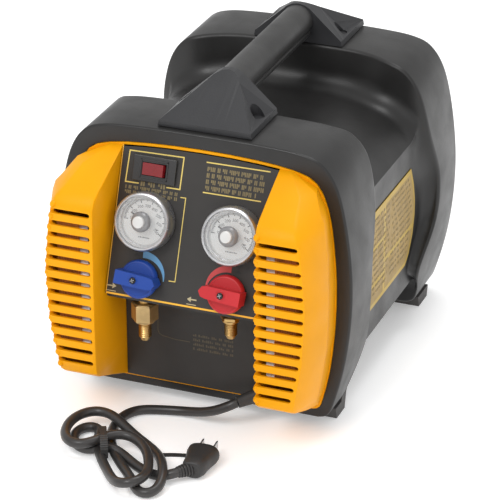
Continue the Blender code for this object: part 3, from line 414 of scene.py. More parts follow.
def smooth_through(points, steps, before=None, after=None):
    """Points on a smooth curve through the given ones, each span split into steps."""
    first = before or tuple(2 * a - b for a, b in zip(points[0], points[1]))
    last = after or tuple(2 * a - b for a, b in zip(points[-1], points[-2]))
    padded = [first, *points, last]
    result = []
    for i in range(1, len(padded) - 2):
        for step in range(steps):
            result.append(catmull(*padded[i - 1:i + 3], step / steps))
    result.append(tuple(points[-1]))
    return result


# ---- flat prints and small solids ----
def on_panel(x, s, h=0.0):
    """A point of the sloping panel."""
    return PANEL @ Vector((x, -s, h))


def on_recess(x, z, h=0.0):
    """A point of the recess wall, h in front of it."""
    return Vector((x, RECESS_FACE_Y - h, z))


def on_label(y, z, h=0.0):
    """A point of the side label, h outside it."""
    return Vector((LABEL_FACE_X + h, y, z))


def add_prism(bm, outline, where, low=PRINT_LOW, high=PRINT_HIGH):
    """A thin closed solid: an outline on a face, from low to high above it."""
    add_loft(bm, [[where(a, b, low) for a, b in outline], [where(a, b, high) for a, b in outline]])


def add_line(bm, points, width, where):
    """A printed line of even width with mitred corners."""
    left, right = [], []
    for i, point in enumerate(points):
        before = Vector(points[max(i - 1, 0)])
        after = Vector(points[min(i + 1, len(points) - 1)])
        here = Vector(point)
        first = (here - before).normalized() if i else (after - here).normalized()
        second = (after - here).normalized() if i < len(points) - 1 else first
        along = (first + second).normalized()
        normal = Vector((-along.y, along.x))
        reach = width / 2 / max(.3, normal.dot(Vector((-first.y, first.x))))
        left.append(tuple(here + normal * reach))
        right.append(tuple(here - normal * reach))
    add_prism(bm, left + right[::-1], where)


def add_words(bm, start, end, height, letters, where, shift=0):
    """Stand-in for a line of small print: short blocks of uneven width in groups, no lettering."""
    start, end = Vector(start), Vector(end)
    along = (end - start) / letters
    down = Vector((-along.y, along.x)).normalized() * height
    for i in range(letters):
        if (i + shift) % 7 == 5 or (i + shift) % 11 == 8:
            continue
        a = start + along * (i + .12)
        b = start + along * (i + (.74 if (i + shift) % 3 else .88))
        cut = .62 if (i + shift) % 4 == 1 else 1
        add_prism(bm, [tuple(a), tuple(b), tuple(b + down * cut), tuple(a + down * cut)], where)


def spun(radius, angle, height):
    """A point at a radius and height, turned about the z axis by an angle."""
    return Vector((radius * cos(angle), radius * sin(angle), height))


def add_turned(bm, profile, matrix, steps=32):
    """A solid of revolution: a profile of (radius, height), with its two ends on the axis."""
    rows = []
    for radius, height in profile[1:-1]:
        ring = [matrix @ spun(radius, 2 * pi * i / steps, height) for i in range(steps)]
        rows.append([bm.verts.new(point) for point in ring])
    first = bm.verts.new(matrix @ Vector((0, 0, profile[0][1])))
    last = bm.verts.new(matrix @ Vector((0, 0, profile[-1][1])))
    for i in range(steps):
        j = (i + 1) % steps
        bm.faces.new((first, rows[0][j], rows[0][i]))
        bm.faces.new((last, rows[-1][i], rows[-1][j]))
        for row, following in zip(rows, rows[1:]):
            bm.faces.new((row[i], row[j], following[j], following[i]))


def add_ring(bm, profile, matrix, steps=40):
    """A closed ring of revolution: a closed profile of (radius, height)."""
    rings = []
    for i in range(steps):
        angle = 2 * pi * i / steps
        rings.append([matrix @ spun(radius, angle, height) for radius, height in profile])
    add_loft(bm, rings, closed=True)


def ring_piece(name, profile, centre, finish, steps=40, body="case"):
    bm = bmesh.new()
    add_ring(bm, profile, centre, steps=steps)
    return piece(name, bm, finish, body=body)


def add_box(bm, low, high, matrix=Matrix()):
    (x0, y0, z0), (x1, y1, z1) = low, high
    rings = []
    for z in (z0, z1):
        corners = ((x0, y0, z), (x1, y0, z), (x1, y1, z), (x0, y1, z))
        rings.append([matrix @ Vector(corner) for corner in corners])
    add_loft(bm, rings)


def add_text(bm, words, size, matrix, depth=.0001):
    """Generic numbers in a plain font."""
    curve = bpy.data.curves.new("number", "FONT")
    curve.body = words
    curve.size = size
    curve.align_x = "CENTER"
    curve.align_y = "CENTER"
    curve.extrude = depth / 2
    curve.resolution_u = 2
    shape = bpy.data.objects.new("number", curve)
    mesh = bpy.data.meshes.new_from_object(shape)
    mesh.transform(matrix)
    bm.from_mesh(mesh)
    bpy.data.objects.remove(shape)
    bpy.data.curves.remove(curve)
    bpy.data.meshes.remove(mesh)


# ---- panel prints ----
def mm(*pairs):
    """Pairs of millimetres as pairs of metres."""
    return [(a / 1000, b / 1000) for a, b in pairs]


def print_piece(name, bm, finish):
    piece(name, bm, finish)


def panel_prints():
    bm = bmesh.new()
    for points in (SWITCH_FRAME, NOTICE_TOP, NOTICE_BOTTOM):
        add_line(bm, mm(*points), .0011, on_panel)
    add_line(bm, mm(*DIVIDER), .0008, on_panel)
    print_piece("panel_lines", bm, "cream")

    bm = bmesh.new()
    bottom = (PANEL_TOP - PANEL_LIP).length * 1000
    add_line(bm, mm((-73.2, bottom - .9), (73.2, bottom - .9)), .0016, on_panel)
    add_line(bm, mm((-73.2, 2), (-73.2, bottom - 2)), .0007, on_panel)
    print_piece("panel_border", bm, "border")

    bm = bmesh.new()
    add_words(bm, (-.053, .0318), (-.029, .0318), .0044, 10, on_panel, 6)
    add_words(bm, (-.067, .0371), (-.0165, .0371), .0031, 32, on_panel, 4)
    add_words(bm, (-.067, .0414), (-.0165, .0414), .0031, 32, on_panel, 1)
    for row in range(4):
        end = .0625 if row < 3 else .056
        add_words(bm, (.008, .01 + .0056 * row), (end, .01 + .0056 * row), .004, 34, on_panel, 3 * row)
    print_piece("panel_small_print", bm, "dull")

    bm = bmesh.new()
    for x, way in ((-.0685, 1), (.0085, -1)):
        add_line(bm, [(x - way * .0045, .1285), (x + way * .001, .1285)], .0012, on_panel)
        head = [(x + way * .0045, .1285), (x + way * .0008, .126), (x + way * .0008, .131)]
        add_prism(bm, head, on_panel)
        add_line(bm, [(x - .0045, .133), (x + .0045, .133)], .0007, on_panel)
    print_piece("port_arrows", bm, "dim_cream")

    bm = bmesh.new()
    for x in (-.048, .049):
        add_prism(bm, [(x - .004, .0905), (x + .004, .0905), (x, .0955)], on_panel)
        add_prism(bm, [(x - .003, .0985), (x + .003, .0985), (x, .0955)], on_panel)
    print_piece("valve_marks", bm, "ink")


def crescent(name, side, finish):
    """Tapering arc beside a knob that shows which way it opens."""
    bm = bmesh.new()
    outer, inner = [], []
    for i in range(17):
        share = i / 16
        angle = radians(92 - 90 * share)
        for radius, points in ((.025 - .0035 * share ** 2, outer), (.0187 + .0022 * share, inner)):
            x = side * STATION_X - side * radius * cos(angle)
            points.append((x, KNOB_S - radius * sin(angle)))
    add_prism(bm, outer + inner[::-1], on_panel)
    print_piece(name, bm, finish)


def recess_prints():
    bm = bmesh.new()
    add_line(bm, mm(*RECESS_LINE), .0007, on_recess)
    for row in range(4):
        z = .0735 - .0046 * row
        add_words(bm, (.031, z), (-.0085, z), -.0024, 22, on_recess, 2 * row)
    print_piece("recess_print", bm, "faint")


def label_prints():
    bm = bmesh.new()
    for block in LABEL_BLOCKS:
        add_prism(bm, mm(*block), on_label, PRINT_LOW, BLOCK_HIGH)
    print_piece("label_blocks", bm, "label_block")
    bm = bmesh.new()
    for row in range(13):
        z = .164 - .0062 * row
        left = -.0235 - .0008 * row if row < 6 else -.03
        right = .088 + .0016 * row if row < 6 else .096 - .002 * (row - 6)
        middle = (left + right) / 2
        add_words(bm, (middle - .003, z), (left, z), .0026, 24, on_label, row)
        add_words(bm, (right, z), (middle + .004, z), .0026, 24, on_label, row + 5)
    print_piece("label_small_print", bm, "label_ink")


# ---- gauges ----
def dial_print(centre):
    """Ticks, generic numbers and a short row of dashes."""
    bm = bmesh.new()
    low, high = DIAL_PRINT
    for i in range(TICKS + 1):
        angle = radians(TICK_START - TICK_SWEEP * i / TICKS)
        inner = LONG_TICK if i % 10 == 0 else (MIDDLE_TICK if i % 5 == 0 else SHORT_TICK)
        half = .00026 if i % 10 else .00036
        out = Matrix.Rotation(angle, 4, "Z")
        add_box(bm, (inner, -half, low), (TICK_OUTER, half, high), centre @ out)
    for i in range(FIGURES):
        angle = radians(FIGURE_START - FIGURE_STEP * i)
        place = Matrix.Translation((FIGURE_RADIUS * cos(angle), FIGURE_RADIUS * sin(angle), .0072))
        tilt = Matrix.Rotation((angle - pi / 2) * FIGURE_LEAN, 4, "Z")
        add_text(bm, str(100 * i), .0038, centre @ place @ tilt)
    for i in range(7):
        x = -.0048 + .0016 * i
        add_box(bm, (x, -.015, low), (x + .0011, -.0142 + .0002 * (i % 2), high), centre)
    add_box(bm, (.011, -.0065, low), (.0135, -.0057, high), centre)
    return bm


def gauge_details(prefix, side):
    centre = PANEL @ Matrix.Translation((side * STATION_X, -GAUGE_S, 0))
    piece(f"{prefix}_dial_print", dial_print(centre), "dial_ink")
    ring_piece(f"{prefix}_dial_surround", DIAL_SURROUND, centre, "dial", steps=48)
    lens = ring_piece(f"{prefix}_lens_disc", LENS_DISC, centre, "lens")
    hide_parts(f"{prefix}_gauge_lens")
    ring_piece(f"{prefix}_lens_boss", LENS_BOSS, centre, "boss")
    bm = bmesh.new()
    add_turned(bm, LENS_BUTTON, centre)
    piece(f"{prefix}_lens_button", bm, "boss_top")
    ring_piece(f"{prefix}_gauge_bezel", BEZEL, centre, "bezel", steps=56)


# ---- brass ----
def hexagon_ring(across_flats, z, matrix, turn=14):
    radius = across_flats / sqrt(3)
    return [matrix @ spun(radius, radians(turn + 60 * i), z) for i in range(6)]


def add_hex(bm, across_flats, low, high, matrix, chamfer=.0009):
    """Hexagon with its corners turned down at both ends."""
    narrow = across_flats - 2 * chamfer
    levels = ((narrow, low), (across_flats, low + chamfer), (across_flats, high - chamfer), (narrow, high))
    add_loft(bm, [hexagon_ring(width, z, matrix) for width, z in levels])


def thread(radius, low, high, pitch=.0016, depth=.00075):
    """Profile of a threaded barrel as a row of ridges, from low to high."""
    count = int((high - low) / pitch)
    profile = []
    for i in range(count):
        z = low + i * (high - low) / count
        profile += [(radius - depth, z), (radius, z + pitch * .35), (radius, z + pitch * .6)]
    return profile + [(radius - depth, high)]


def nipple_profile(bottom, top):
    """A hollow-ended flare nipple: cone, thread and collar."""
    cone = [(0, bottom + .004), (.0026, bottom + .004), (.0026, bottom), (.0036, bottom),
            (.0048, bottom + .0026)]
    collar = [(.005, top - .0015), (.0062, top - .0012), (.0062, top), (0, top)]
    return [*cone, *thread(.0058, bottom + .0032, top - .002), *collar]


def inlet_filter(inlet):
    bm = bmesh.new()
    add_hex(bm, .0212, .1, .1172, inlet, chamfer=.0011)
    add_turned(bm, [(0, .1168), (.0096, .1168), (.0096, .1178), (0, .1178)], inlet)
    add_turned(bm, [(0, .0982), (.0086, .0982), (.0096, .0992), (.0096, .1004), (0, .1004)], inlet)
    body = piece("inlet_filter_hex", bm, "pale_brass")
    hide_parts("inlet_filter_body")


def ports():
    """The inlet's filter body and nipple, and the outlet's nipple with its washer and hexagon."""
    inlet = Matrix.Translation((-STATION_X, PORT_Y, 0))
    outlet = Matrix.Translation((STATION_X, PORT_Y, 0))
    inlet_filter(inlet)
    for name, node, matrix, top, bottom in (("inlet_nipple", "inlet_flare_nipple", inlet, .0979, .08),
                                            ("outlet_nipple", "outlet_fitting", outlet, .114, .0972)):
        bm = bmesh.new()
        add_turned(bm, nipple_profile(bottom, top), matrix, steps=28)
        if name == "outlet_nipple":
            washer = [(0, top - .0002), (.0074, top - .0002), (.0078, top + .0004), (.0078, top + .0018),
                      (0, top + .0018)]
            add_turned(bm, washer, matrix)
            add_hex(bm, .0158, top + .0016, .1199, matrix)
        nipple = piece(name, bm, "brass")
        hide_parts(node)


# ---- knobs ----
def knob_details(prefix, side, finish):
    """Rounded rim of the disc, seat and cross of the screw, turning with the valve."""
    centre = PANEL @ Matrix.Translation((side * STATION_X, -KNOB_S, 0))
    body = f"{prefix}_valve"
    ring_piece(f"{prefix}_knob_rim", KNOB_RIM, centre, finish, steps=60, body=body)
    ring_piece(f"{prefix}_screw_seat", SCREW_SEAT, centre, finish, steps=28, body=body)
    bm = bmesh.new()
    for turn in (20, 110):
        slot = Matrix.Rotation(radians(turn), 4, "Z")
        add_box(bm, (-.002, -.0003, .0211), (.002, .0003, .0218), centre @ slot)
    piece(f"{prefix}_screw_cross", bm, "steel", body=body)


# ---- switch ----
def switch_details():
    """Raised edge round the switch well."""
    bm = bmesh.new()
    x0, x1 = SWITCH_X - .0126, SWITCH_X + .0126
    s0, s1 = SWITCH_S - .0081, SWITCH_S + .0081
    for a, b in (((x0, s0), (x1, s0)), ((x1, s0), (x1, s1)), ((x1, s1), (x0, s1)), ((x0, s1), (x0, s0))):
        low = (min(a[0], b[0]) - .0005, min(a[1], b[1]) - .0005)
        high = (max(a[0], b[0]) + .0005, max(a[1], b[1]) + .0005)
        add_prism(bm, [low, (high[0], low[1]), high, (low[0], high[1])], on_panel, .0028, .0037)
    piece("switch_well_edge", bm, "gloss_black")


# ---- grilles ----
def add_lobe(bm, centre, half):
    """A rounded end: an egg with its own half length in each direction."""
    rings = []
    for row in range(1, 8):
        lift = pi * row / 8
        ring = []
        for i in range(12):
            turn = pi * i / 6
            x = half[0] * sin(lift) * cos(turn)
            z = half[2] * sin(lift) * sin(turn)
            ring.append(centre + Vector((x, -half[1] * cos(lift), z)))
        rings.append(ring)
    add_loft(bm, rings)


def bar_ends():
    """The grille bars end in round lobes on the left corner of each tower."""
    bm = bmesh.new()
    for i in range(SLOT_COUNT + 1):
        z = SLOT_TOP_Z - SLOT_PITCH * (i - .5)
        for (low_z, low_x), (high_z, high_x) in zip(LEFT_CORNER, LEFT_CORNER[1:]):
            if low_z <= z < high_z:
                corner = low_x + (high_x - low_x) * (z - low_z) / (high_z - low_z)
        for x in (-corner, RIGHT_CORNER_X):
            add_lobe(bm, Vector((x + .0022, LOBE_Y, z)), (.0036, .006, (SLOT_PITCH - SLOT_HEIGHT) / 2))
    piece("grille_bar_ends", bm, "yellow")


# ---- condensers ----
def condenser_fins(name):
    """Fins across copper tubes, behind a grille."""
    low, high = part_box(f"{name}_core")
    bm = bmesh.new()
    for i in range(FIN_COUNT):
        x = low[0] + .0003 + (high[0] - low[0] - .0008) * i / (FIN_COUNT - 1)
        add_box(bm, (x, low[1] - FIN_REACH, low[2]), (x + FIN_THICKNESS, high[1], high[2]))
    fins = piece(f"{name}_fins", bm, "fins")
    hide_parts(f"{name}_core")
    bm = bmesh.new()
    end = high[0] - low[0] - .0001
    for row in range(6):
        for column in range(2):
            z = low[2] + .0105 + .02 * row + .004 * column
            centre = Vector((low[0], low[1] + .01 + .016 * column, z))
            turn = Matrix.Translation(centre) @ Matrix.Rotation(pi / 2, 4, "Y")
            add_turned(bm, [(0, .0001), (TUBE_RADIUS, .0001), (TUBE_RADIUS, end), (0, end)], turn, steps=12)
    piece(f"{name}_tubes", bm, "copper")


# ---- plug ----
PLUG_ALONG = Vector((-.06, 1, 0)).normalized()
PLUG_ACROSS = Vector((PLUG_ALONG.y, -PLUG_ALONG.x, 0))
UP = Vector((0, 0, 1))
RIBS = 6
# The moulded body as (distance from the relief's end, half width, half height).
PLUG_BODY = [(-.006, .0078, .007), (-.005, .0088, .008), (0, .0108, .009), (.007, .0114, .0088),
             (.013, .0124, .009), (.021, .0144, .0094), (.0265, .0145, .0095), (.028, .0136, .0088)]
BLADE = [(-.00075, 0), (.00075, 0), (.00075, .017), (0, .018), (-.00075, .017)]
BLADE_OFFSET = .0064
EARTH_PIN = [(0, .027), (.0023, .027), (.0023, .044), (.0016, .0458), (0, .0464)]


def add_relief(bm):
    """The ribbed strain relief, from the cord to the plug."""
    heading = (RELIEF_END - RELIEF_START).normalized()
    side = heading.cross(UP).normalized()
    over = side.cross(heading)
    length = (RELIEF_END - RELIEF_START).length
    stations = []
    for i in range(RIBS):
        start = length * (.02 + .16 * i)
        radius = .0052 + .0019 * i / 5
        stations += [(start, radius), (start + length * .09, radius), (start + length * .1, radius - .0009),
                     (start + length * .15, radius - .0009)]
    rings = []
    for distance, radius in stations:
        ring = []
        for degrees in range(0, 360, 20):
            angle = radians(degrees)
            ring.append(RELIEF_START + heading * distance + side * (radius * cos(angle))
                        + over * (radius * sin(angle)))
        rings.append(ring)
    add_loft(bm, rings)


def add_plug_body(bm):
    """The moulded body, squarish in section."""
    rings = []
    for distance, wide, high in PLUG_BODY:
        centre = RELIEF_END + PLUG_ALONG * distance
        ring = []
        for degrees in range(0, 360, 15):
            c, s = cos(radians(degrees)), sin(radians(degrees))
            ring.append(centre + PLUG_ACROSS * (wide * copysign(abs(c) ** .75, c))
                        + UP * (high * copysign(abs(s) ** .75, s)))
        rings.append(ring)
    add_loft(bm, rings)


def add_pins(bm):
    """Two flat blades and a round earth pin."""
    turn = Matrix.Rotation(atan2(PLUG_ALONG.y, PLUG_ALONG.x) - pi / 2, 4, "Z")
    for offset in (-BLADE_OFFSET, BLADE_OFFSET):
        place = Matrix.Translation(RELIEF_END + PLUG_ALONG * .0275 + PLUG_ACROSS * offset)
        rings = [[place @ turn @ Vector((x, y, z)) for x, y in BLADE] for z in (-.0032, .0032)]
        add_loft(bm, rings)
    pin = Matrix.Translation(RELIEF_END + UP * -.0045) @ turn @ Matrix.Rotation(-pi / 2, 4, "X")
    add_turned(bm, EARTH_PIN, pin, steps=16)


def plug():
    """Moulded plug with its relief, and its bare metal pins."""
    bm = bmesh.new()
    add_relief(bm)
    add_plug_body(bm)
    body = piece("plug_body", bm, "rubber")
    bm = bmesh.new()
    add_pins(bm)
    pins = piece("plug_pins", bm, "steel")
    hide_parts("mains_plug")
    return body, pins


STRAP_PATH = [(-.004, -.215, .0002), (.006, -.2105, .0002), (.018, -.207, .0002), (.03, -.2048, .0002)]
STRAP_HIGH = Vector((0, 0, .0011))


def strap_frame(path, index):
    """Directions along and across the strap at one of its points."""
    ahead = (path[min(index + 1, len(path) - 1)] - path[max(index - 1, 0)]).normalized()
    return ahead, Vector((ahead.y, -ahead.x, 0))


def cord_strap():
    """Thin strap left loose under the loops: two strands joined by three bars."""
    bm = bmesh.new()
    path = [Vector(p) for p in smooth_through(STRAP_PATH, 3)]
    for a, b in ((0, .0016), (.0034, .005)):
        rings = []
        for i, point in enumerate(path):
            _, out = strap_frame(path, i)
            inner, outer = point + out * a, point + out * b
            rings.append([inner, outer, outer + STRAP_HIGH, inner + STRAP_HIGH])
        add_loft(bm, rings)
    for index in (0, 4, len(path) - 1):
        ahead, out = strap_frame(path, index)
        bar = ((-.0012, .0012), (.0012, .0012), (.0012, .0038), (-.0012, .0038))
        corners = [path[index] + ahead * d + out * w for d, w in bar]
        add_loft(bm, [corners, [corner + STRAP_HIGH for corner in corners]])
    return piece("cord_strap", bm, "rubber")


# ---- screws ----
def screws():
    """Pan-head screws round the rear cover."""
    bm = bmesh.new()
    for x, z in COVER_SCREWS:
        out = Matrix.Translation((x, REAR_FACE_Y, z)) @ Matrix.Rotation(-pi / 2, 4, "X")
        add_ring(bm, SCREW_HEAD, out, steps=24)
        add_turned(bm, [(0, -.0004), (.0015, -.0004), (.0015, .0008), (0, .0008)], out, steps=12)
    piece("rear_cover_screws", bm, "dark_steel")


# ---- case ----
def mirrored(half):
    return half + [(-x, z) for x, z in reversed(half[1:])]


def outline_ring(knots):
    """Ring for a case outline, smooth from the top centre to the start of the bottom."""
    before = (-knots[1][0], knots[1][1])
    after = (knots[-1][0] - .01, knots[-1][1])
    return mirrored(smooth_through(knots, CASE_STEPS, before, after))


def waist_outline():
    top = smooth_through(WAIST_TOP, CASE_STEPS, (-WAIST_TOP[1][0], WAIST_TOP[1][1]))
    side = []
    for start, end in zip(WAIST_SIDE, WAIST_SIDE[1:]):
        for step in range(CASE_STEPS):
            side.append(tuple(a + (b - a) * step / CASE_STEPS for a, b in zip(start, end)))
    return mirrored(top + side[1:] + [WAIST_SIDE[-1]])


def ring_values(values):
    """One value for each point of a ring, from one value for each knot."""
    half = [v[0] for v in smooth_through([(v,) for v in values], CASE_STEPS)]
    return half + list(reversed(half[1:]))


def inset(ring, distance):
    """Move each point of a ring inward, at right angles to the ring."""
    moved = []
    for i, (x, z) in enumerate(ring):
        along = (Vector(ring[(i + 1) % len(ring)]) - Vector(ring[i - 1])).normalized()
        moved.append((x + along.y * distance, z - along.x * distance))
    return moved


def toward(ring, target, distance):
    """Move each point of a ring towards the matching point of another."""
    moved = []
    for start, end, step in zip(ring, target, distance):
        start, end = Vector(start), Vector(end)
        moved.append(tuple(start + (end - start).normalized() * step))
    return moved


def at_y(ring, y):
    """A ring of (x, z) at one y, or at a y of its own for each point."""
    ys = y if isinstance(y, list) else [y] * len(ring)
    return [(x, level, z) for (x, z), level in zip(ring, ys)]


def rounding(flange, y, direction, radius):
    """Quarter round between the flange's rim and a face."""
    rings = []
    for i in range(ROUND_STEPS + 1):
        angle = radians(90 * i / ROUND_STEPS)
        inward = radius * (1 - sin(angle))
        rings.append(at_y(inset(flange, inward), y + direction * radius * (1 - cos(angle))))
    return rings


def fillet(waist, flange, wall_y, direction, radius, offset):
    """The hollow round between a flange wall and the waist, shifted into the plastic by offset."""
    stations = []
    for i in range(FILLET_STEPS + 1):
        angle = radians(90 * i / FILLET_STEPS)
        out = [r - (r + offset) * sin(angle) for r in radius]
        ys = [y + direction * (r - (r + offset) * cos(angle)) for y, r in zip(wall_y, radius)]
        stations.append(at_y(toward(waist, flange, out), ys))
    return stations


def crest(flange, waist, wall_y, direction):
    """Round from a flange's rim over to its inner wall, in order from the rim."""
    rings = []
    for i in range(CREST_STEPS + 1):
        angle = radians(90 * i / CREST_STEPS)
        inward = [CREST_ROUND * (1 - cos(angle))] * len(flange)
        ys = [y + direction * CREST_ROUND * (sin(angle) - 1) for y in wall_y]
        rings.append(at_y(toward(flange, waist, inward), ys))
    return rings


def case_skin():
    """The one-piece case moulding: two flanges, the waist between them and an even wall."""
    flange, opening, waist = outline_ring(FLANGE), outline_ring(OPENING), waist_outline()
    front, rear = ring_values(FRONT_WALL), ring_values(REAR_WALL)
    radius = [min(FILLET, .8 * dist(a, b)) for a, b in zip(flange, waist)]
    seat, lip, inner = inset(opening, -SEAT_GAP), inset(opening, LEDGE_WIDTH), inset(flange, CASE_WALL)
    front_ledge, rear_ledge = FRONT_FACE_Y + LEDGE_DEPTH, REAR_FACE_Y - LEDGE_DEPTH
    rings = [at_y(lip, front_ledge), at_y(seat, front_ledge), at_y(seat, FRONT_FACE_Y)]
    rings += rounding(flange, FRONT_FACE_Y, 1, FACE_ROUND)
    rings += crest(flange, waist, front, 1)
    rings += fillet(waist, flange, front, 1, radius, 0)
    rings += reversed(fillet(waist, flange, rear, -1, radius, 0))
    rings += reversed(crest(flange, waist, rear, -1))
    rings += reversed(rounding(flange, REAR_FACE_Y, -1, REAR_ROUND))
    rings += [at_y(seat, REAR_FACE_Y), at_y(seat, rear_ledge), at_y(lip, rear_ledge)]
    back, forth = rear_ledge - CASE_WALL, front_ledge + CASE_WALL
    rings += [at_y(lip, back), at_y(inset(flange, RIM_WALL), back), at_y(inner, back - CASE_WALL)]
    rings.append(at_y(inner, [y + CASE_WALL for y in rear]))
    rings += fillet(waist, flange, rear, -1, radius, CASE_WALL)
    rings += reversed(fillet(waist, flange, front, 1, radius, CASE_WALL))
    rings += [at_y(inner, [y - CASE_WALL for y in front]), at_y(inner, forth), at_y(lip, forth)]
    bm = bmesh.new()
    add_loft(bm, rings, closed=True)
    skin = piece("case_skin", bm, "case", sharp=40)
    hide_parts("case_shell")


# ---- mains cord ----
CORD_DIAMETER = .009
CORD_SPACING = .003
GLAND_BASE = Vector((.062, -.1273, .031))
GLAND_TIP = Vector((.0425, -.143, .025))
GLAND_HEADING = (GLAND_TIP - GLAND_BASE).normalized()
RELIEF_START = Vector((.029, -.252, .009))
RELIEF_END = Vector((.04, -.24, .0098))
# From the gland over the floor to the back of the hank.
LEAD = [(.033, -.1485, .0205), (.022, -.1495, .0152), (.01, -.1465, .01), (-.004, -.1435, .0062),
        (-.02, -.1445, .0047), (-.036, -.149, .0047), (-.05, -.1545, .0047), (-.057, -.1655, .0047),
        (-.0598, -.1811, .0047)]
# Under the knot and out to the outer right loop.
OUTER_RIGHT = [(-.0575, -.196, .0047), (-.052, -.213, .0058), (-.043, -.229, .0062), (-.032, -.243, .0047),
               (-.019, -.257, .0047), (-.007, -.27, .0047), (.001, -.2815, .0047), (.0085, -.2895, .0047),
               (.0175, -.2895, .005), (.0228, -.28, .0065), (.0215, -.268, .0105), (.017, -.256, .0135),
               (.01, -.243, .012), (.000, -.228, .008), (-.014, -.214, .0055), (-.029, -.205, .0065),
               (-.044, -.198, .011), (-.058, -.19, .0145)]
# The outer left loop lies on the inner one.
OUTER_LEFT = [(-.07, -.185, .0145), (-.081, -.187, .0143), (-.089, -.197, .0143), (-.092, -.211, .0143),
              (-.09, -.227, .0143), (-.084, -.24, .0143), (-.075, -.2475, .0143), (-.065, -.247, .0145),
              (-.057, -.24, .0155), (-.05, -.23, .0168)]
INNER_RIGHT = [(-.041, -.2205, .0168), (-.029, -.218, .015), (-.016, -.2255, .0138), (-.005, -.239, .0143),
               (.0035, -.2555, .0143), (.008, -.27, .0138), (.0075, -.2835, .0141), (.0005, -.2915, .014),
               (-.009, -.291, .0115), (-.0185, -.2825, .0075), (-.029, -.269, .0049), (-.039, -.2565, .0047),
               (-.048, -.245, .0058)]
INNER_LEFT = [(-.056, -.232, .008), (-.0612, -.22, .0075), (-.0645, -.2085, .006),
              (-.069, -.199, .0049), (-.077, -.197, .0047), (-.0842, -.203, .0047),
              (-.0868, -.2135, .0047), (-.0835, -.225, .0047), (-.076, -.2345, .0047), (-.066, -.2385, .0047),
              (-.056, -.237, .006), (-.046, -.2335, .0105)]
TO_PLUG = [(-.033, -.2345, .0065), (-.019, -.243, .0047), (-.006, -.2515, .0047), (.007, -.257, .0047),
           (.018, -.2585, .006)]


def evenly(points, spacing):
    """The same line with its points a fixed distance apart."""
    result, travelled, wanted = [Vector(points[0])], 0, spacing
    for a, b in zip(points, points[1:]):
        a, b = Vector(a), Vector(b)
        span = (b - a).length
        while travelled + span > wanted:
            result.append(a.lerp(b, (wanted - travelled) / span))
            wanted += spacing
        travelled += span
    return result + [Vector(points[-1])]


def relaxed(points, passes, held=3):
    """Ease the bends of a line as a springy cord does; a few points at each end stay put."""
    for _ in range(passes):
        middle = []
        for i in range(held, len(points) - held):
            middle.append((points[i - 1] + points[i] * 2 + points[i + 1]) / 4)
        points = points[:held] + middle + points[-held:]
    return points


def cord_route():
    """The cord's centreline, from just outside the gland to just inside the plug's relief."""
    relief_heading = (RELIEF_END - RELIEF_START).normalized()
    start = GLAND_TIP + GLAND_HEADING * .0009
    straight = GLAND_TIP + GLAND_HEADING * .0035
    end = RELIEF_START - relief_heading * .0006
    inside = RELIEF_START + relief_heading * .004
    knots = [tuple(start), tuple(straight), *LEAD, *OUTER_RIGHT, *OUTER_LEFT, *INNER_RIGHT, *INNER_LEFT,
             *TO_PLUG, tuple(end), tuple(inside)]
    return relaxed(evenly(smooth_through(knots, 6), CORD_SPACING), 12)


def tube_through(name, points, radius, finish, sides=4):
    """A round tube along a line of points."""
    curve = bpy.data.curves.new(name, "CURVE")
    curve.dimensions = "3D"
    curve.bevel_depth = radius
    curve.bevel_resolution = sides
    curve.use_fill_caps = True
    spline = curve.splines.new("POLY")
    spline.points.add(len(points) - 1)
    for target, point in zip(spline.points, points):
        target.co = (*point, 1)
    curve.materials.append(MATERIALS[finish])
    obj = new_object(name, curve)
    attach(obj, "case")
    return obj


TIE_CENTRE = Vector((-.0505, -.232, .0119))
TIE_ALONG = Vector((.893, .45, 0))
TIE_ACROSS = Vector((.45, -.893, 0))
TIE_HALF_WIDE = .0152
TIE_HALF_HIGH = .0097
TIE_HALF_LENGTH = .0034
TIE_THICKNESS = .0014
TIE_RIB = .0004
TIE_STEPS = 72


def cord_tie():
    """Ribbed strap round the knot of the hank."""
    bm = bmesh.new()
    rings = []
    for i in range(TIE_STEPS):
        angle = 2 * pi * i / TIE_STEPS
        wide = copysign(abs(cos(angle)) ** .7, cos(angle))
        high = copysign(abs(sin(angle)) ** .7, sin(angle))
        thick = TIE_THICKNESS + (TIE_RIB if i % 2 else 0)
        ring = []
        for side, out in ((-1, 0), (1, 0), (1, thick), (-1, thick)):
            ring.append(TIE_CENTRE + TIE_ALONG * (side * TIE_HALF_LENGTH)
                        + TIE_ACROSS * ((TIE_HALF_WIDE + out) * wide)
                        + Vector((0, 0, (TIE_HALF_HIGH + out) * high)))
        rings.append(ring)
    add_loft(bm, rings, closed=True)
    return piece("cord_tie", bm, "rubber")


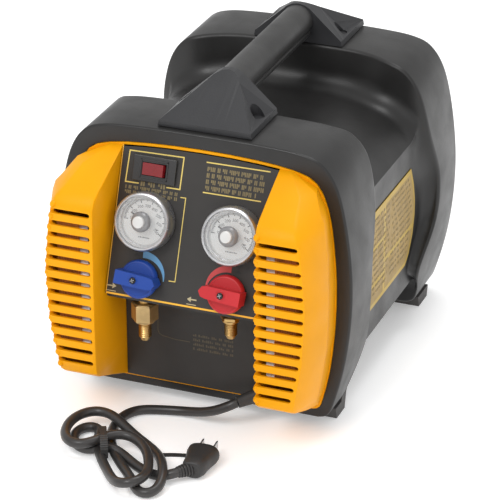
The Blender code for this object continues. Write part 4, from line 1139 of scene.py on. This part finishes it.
def make_cord():
    points = cord_route()
    cord = tube_through("mains_cord", points, CORD_DIAMETER / 2, "cord")
    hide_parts("cord_lead", "cord_hank")
    body, pins = plug()
    cord_tie()
    cord_strap()


# ---- stage ----
# Each light's name, place, size and power.
LIGHTS = (("key", (-.5, -2.0, 2.2), 1.2, 30),
          ("fill", (1.5, -1.8, 1.6), 1.6, 5),
          ("top", (.3, .5, 2.4), .9, 16))
LIGHT_TARGET = Vector((0, 0, .15))


def make_floor():
    bm = bmesh.new()
    bmesh.ops.create_grid(bm, x_segments=1, y_segments=1, size=6)
    mesh = bpy.data.meshes.new("floor")
    bm.to_mesh(mesh)
    bm.free()
    material, _, _, shader = new_material("floor")
    shader.inputs["Base Color"].default_value = (.92, .92, .92, 1)
    shader.inputs["Emission Color"].default_value = (1, 1, 1, 1)
    shader.inputs["Emission Strength"].default_value = .28
    shader.inputs["Roughness"].default_value = .8
    mesh.materials.append(material)
    floor = new_object("floor", mesh)


def make_world():
    world = bpy.data.worlds.new("studio")
    world.use_nodes = True
    background = world.node_tree.nodes["Background"]
    background.inputs["Color"].default_value = (1, 1, 1, 1)
    background.inputs["Strength"].default_value = .8
    bpy.context.scene.world = world
    bpy.context.scene.view_settings.view_transform = "Standard"


def make_lights():
    for name, place, size, power in LIGHTS:
        data = bpy.data.lights.new(name, "AREA")
        data.size = size
        data.energy = power
        light = new_object(name, data)
        light.location = place
        light.rotation_euler = (LIGHT_TARGET - Vector(place)).to_track_quat("-Z", "Y").to_euler()


make_camera()
make_cord()
finish_nodes()
soften("front_fascia", FASCIA_ANGLE)
for name in SOFT_NODES.split():
    soften(name, SOFT_ANGLE)
case_skin()
panel_prints()
crescent("inlet_crescent", -1, "light_blue")
crescent("outlet_crescent", 1, "red_print")
recess_prints()
label_prints()
for prefix, side, finish in (("inlet", -1, "blue"), ("outlet", 1, "red")):
    gauge_details(prefix, side)
    knob_details(prefix, side, finish)
ports()
switch_details()
bar_ends()
condenser_fins("left_condenser")
condenser_fins("right_condenser")
screws()
make_floor()
make_world()
make_lights()
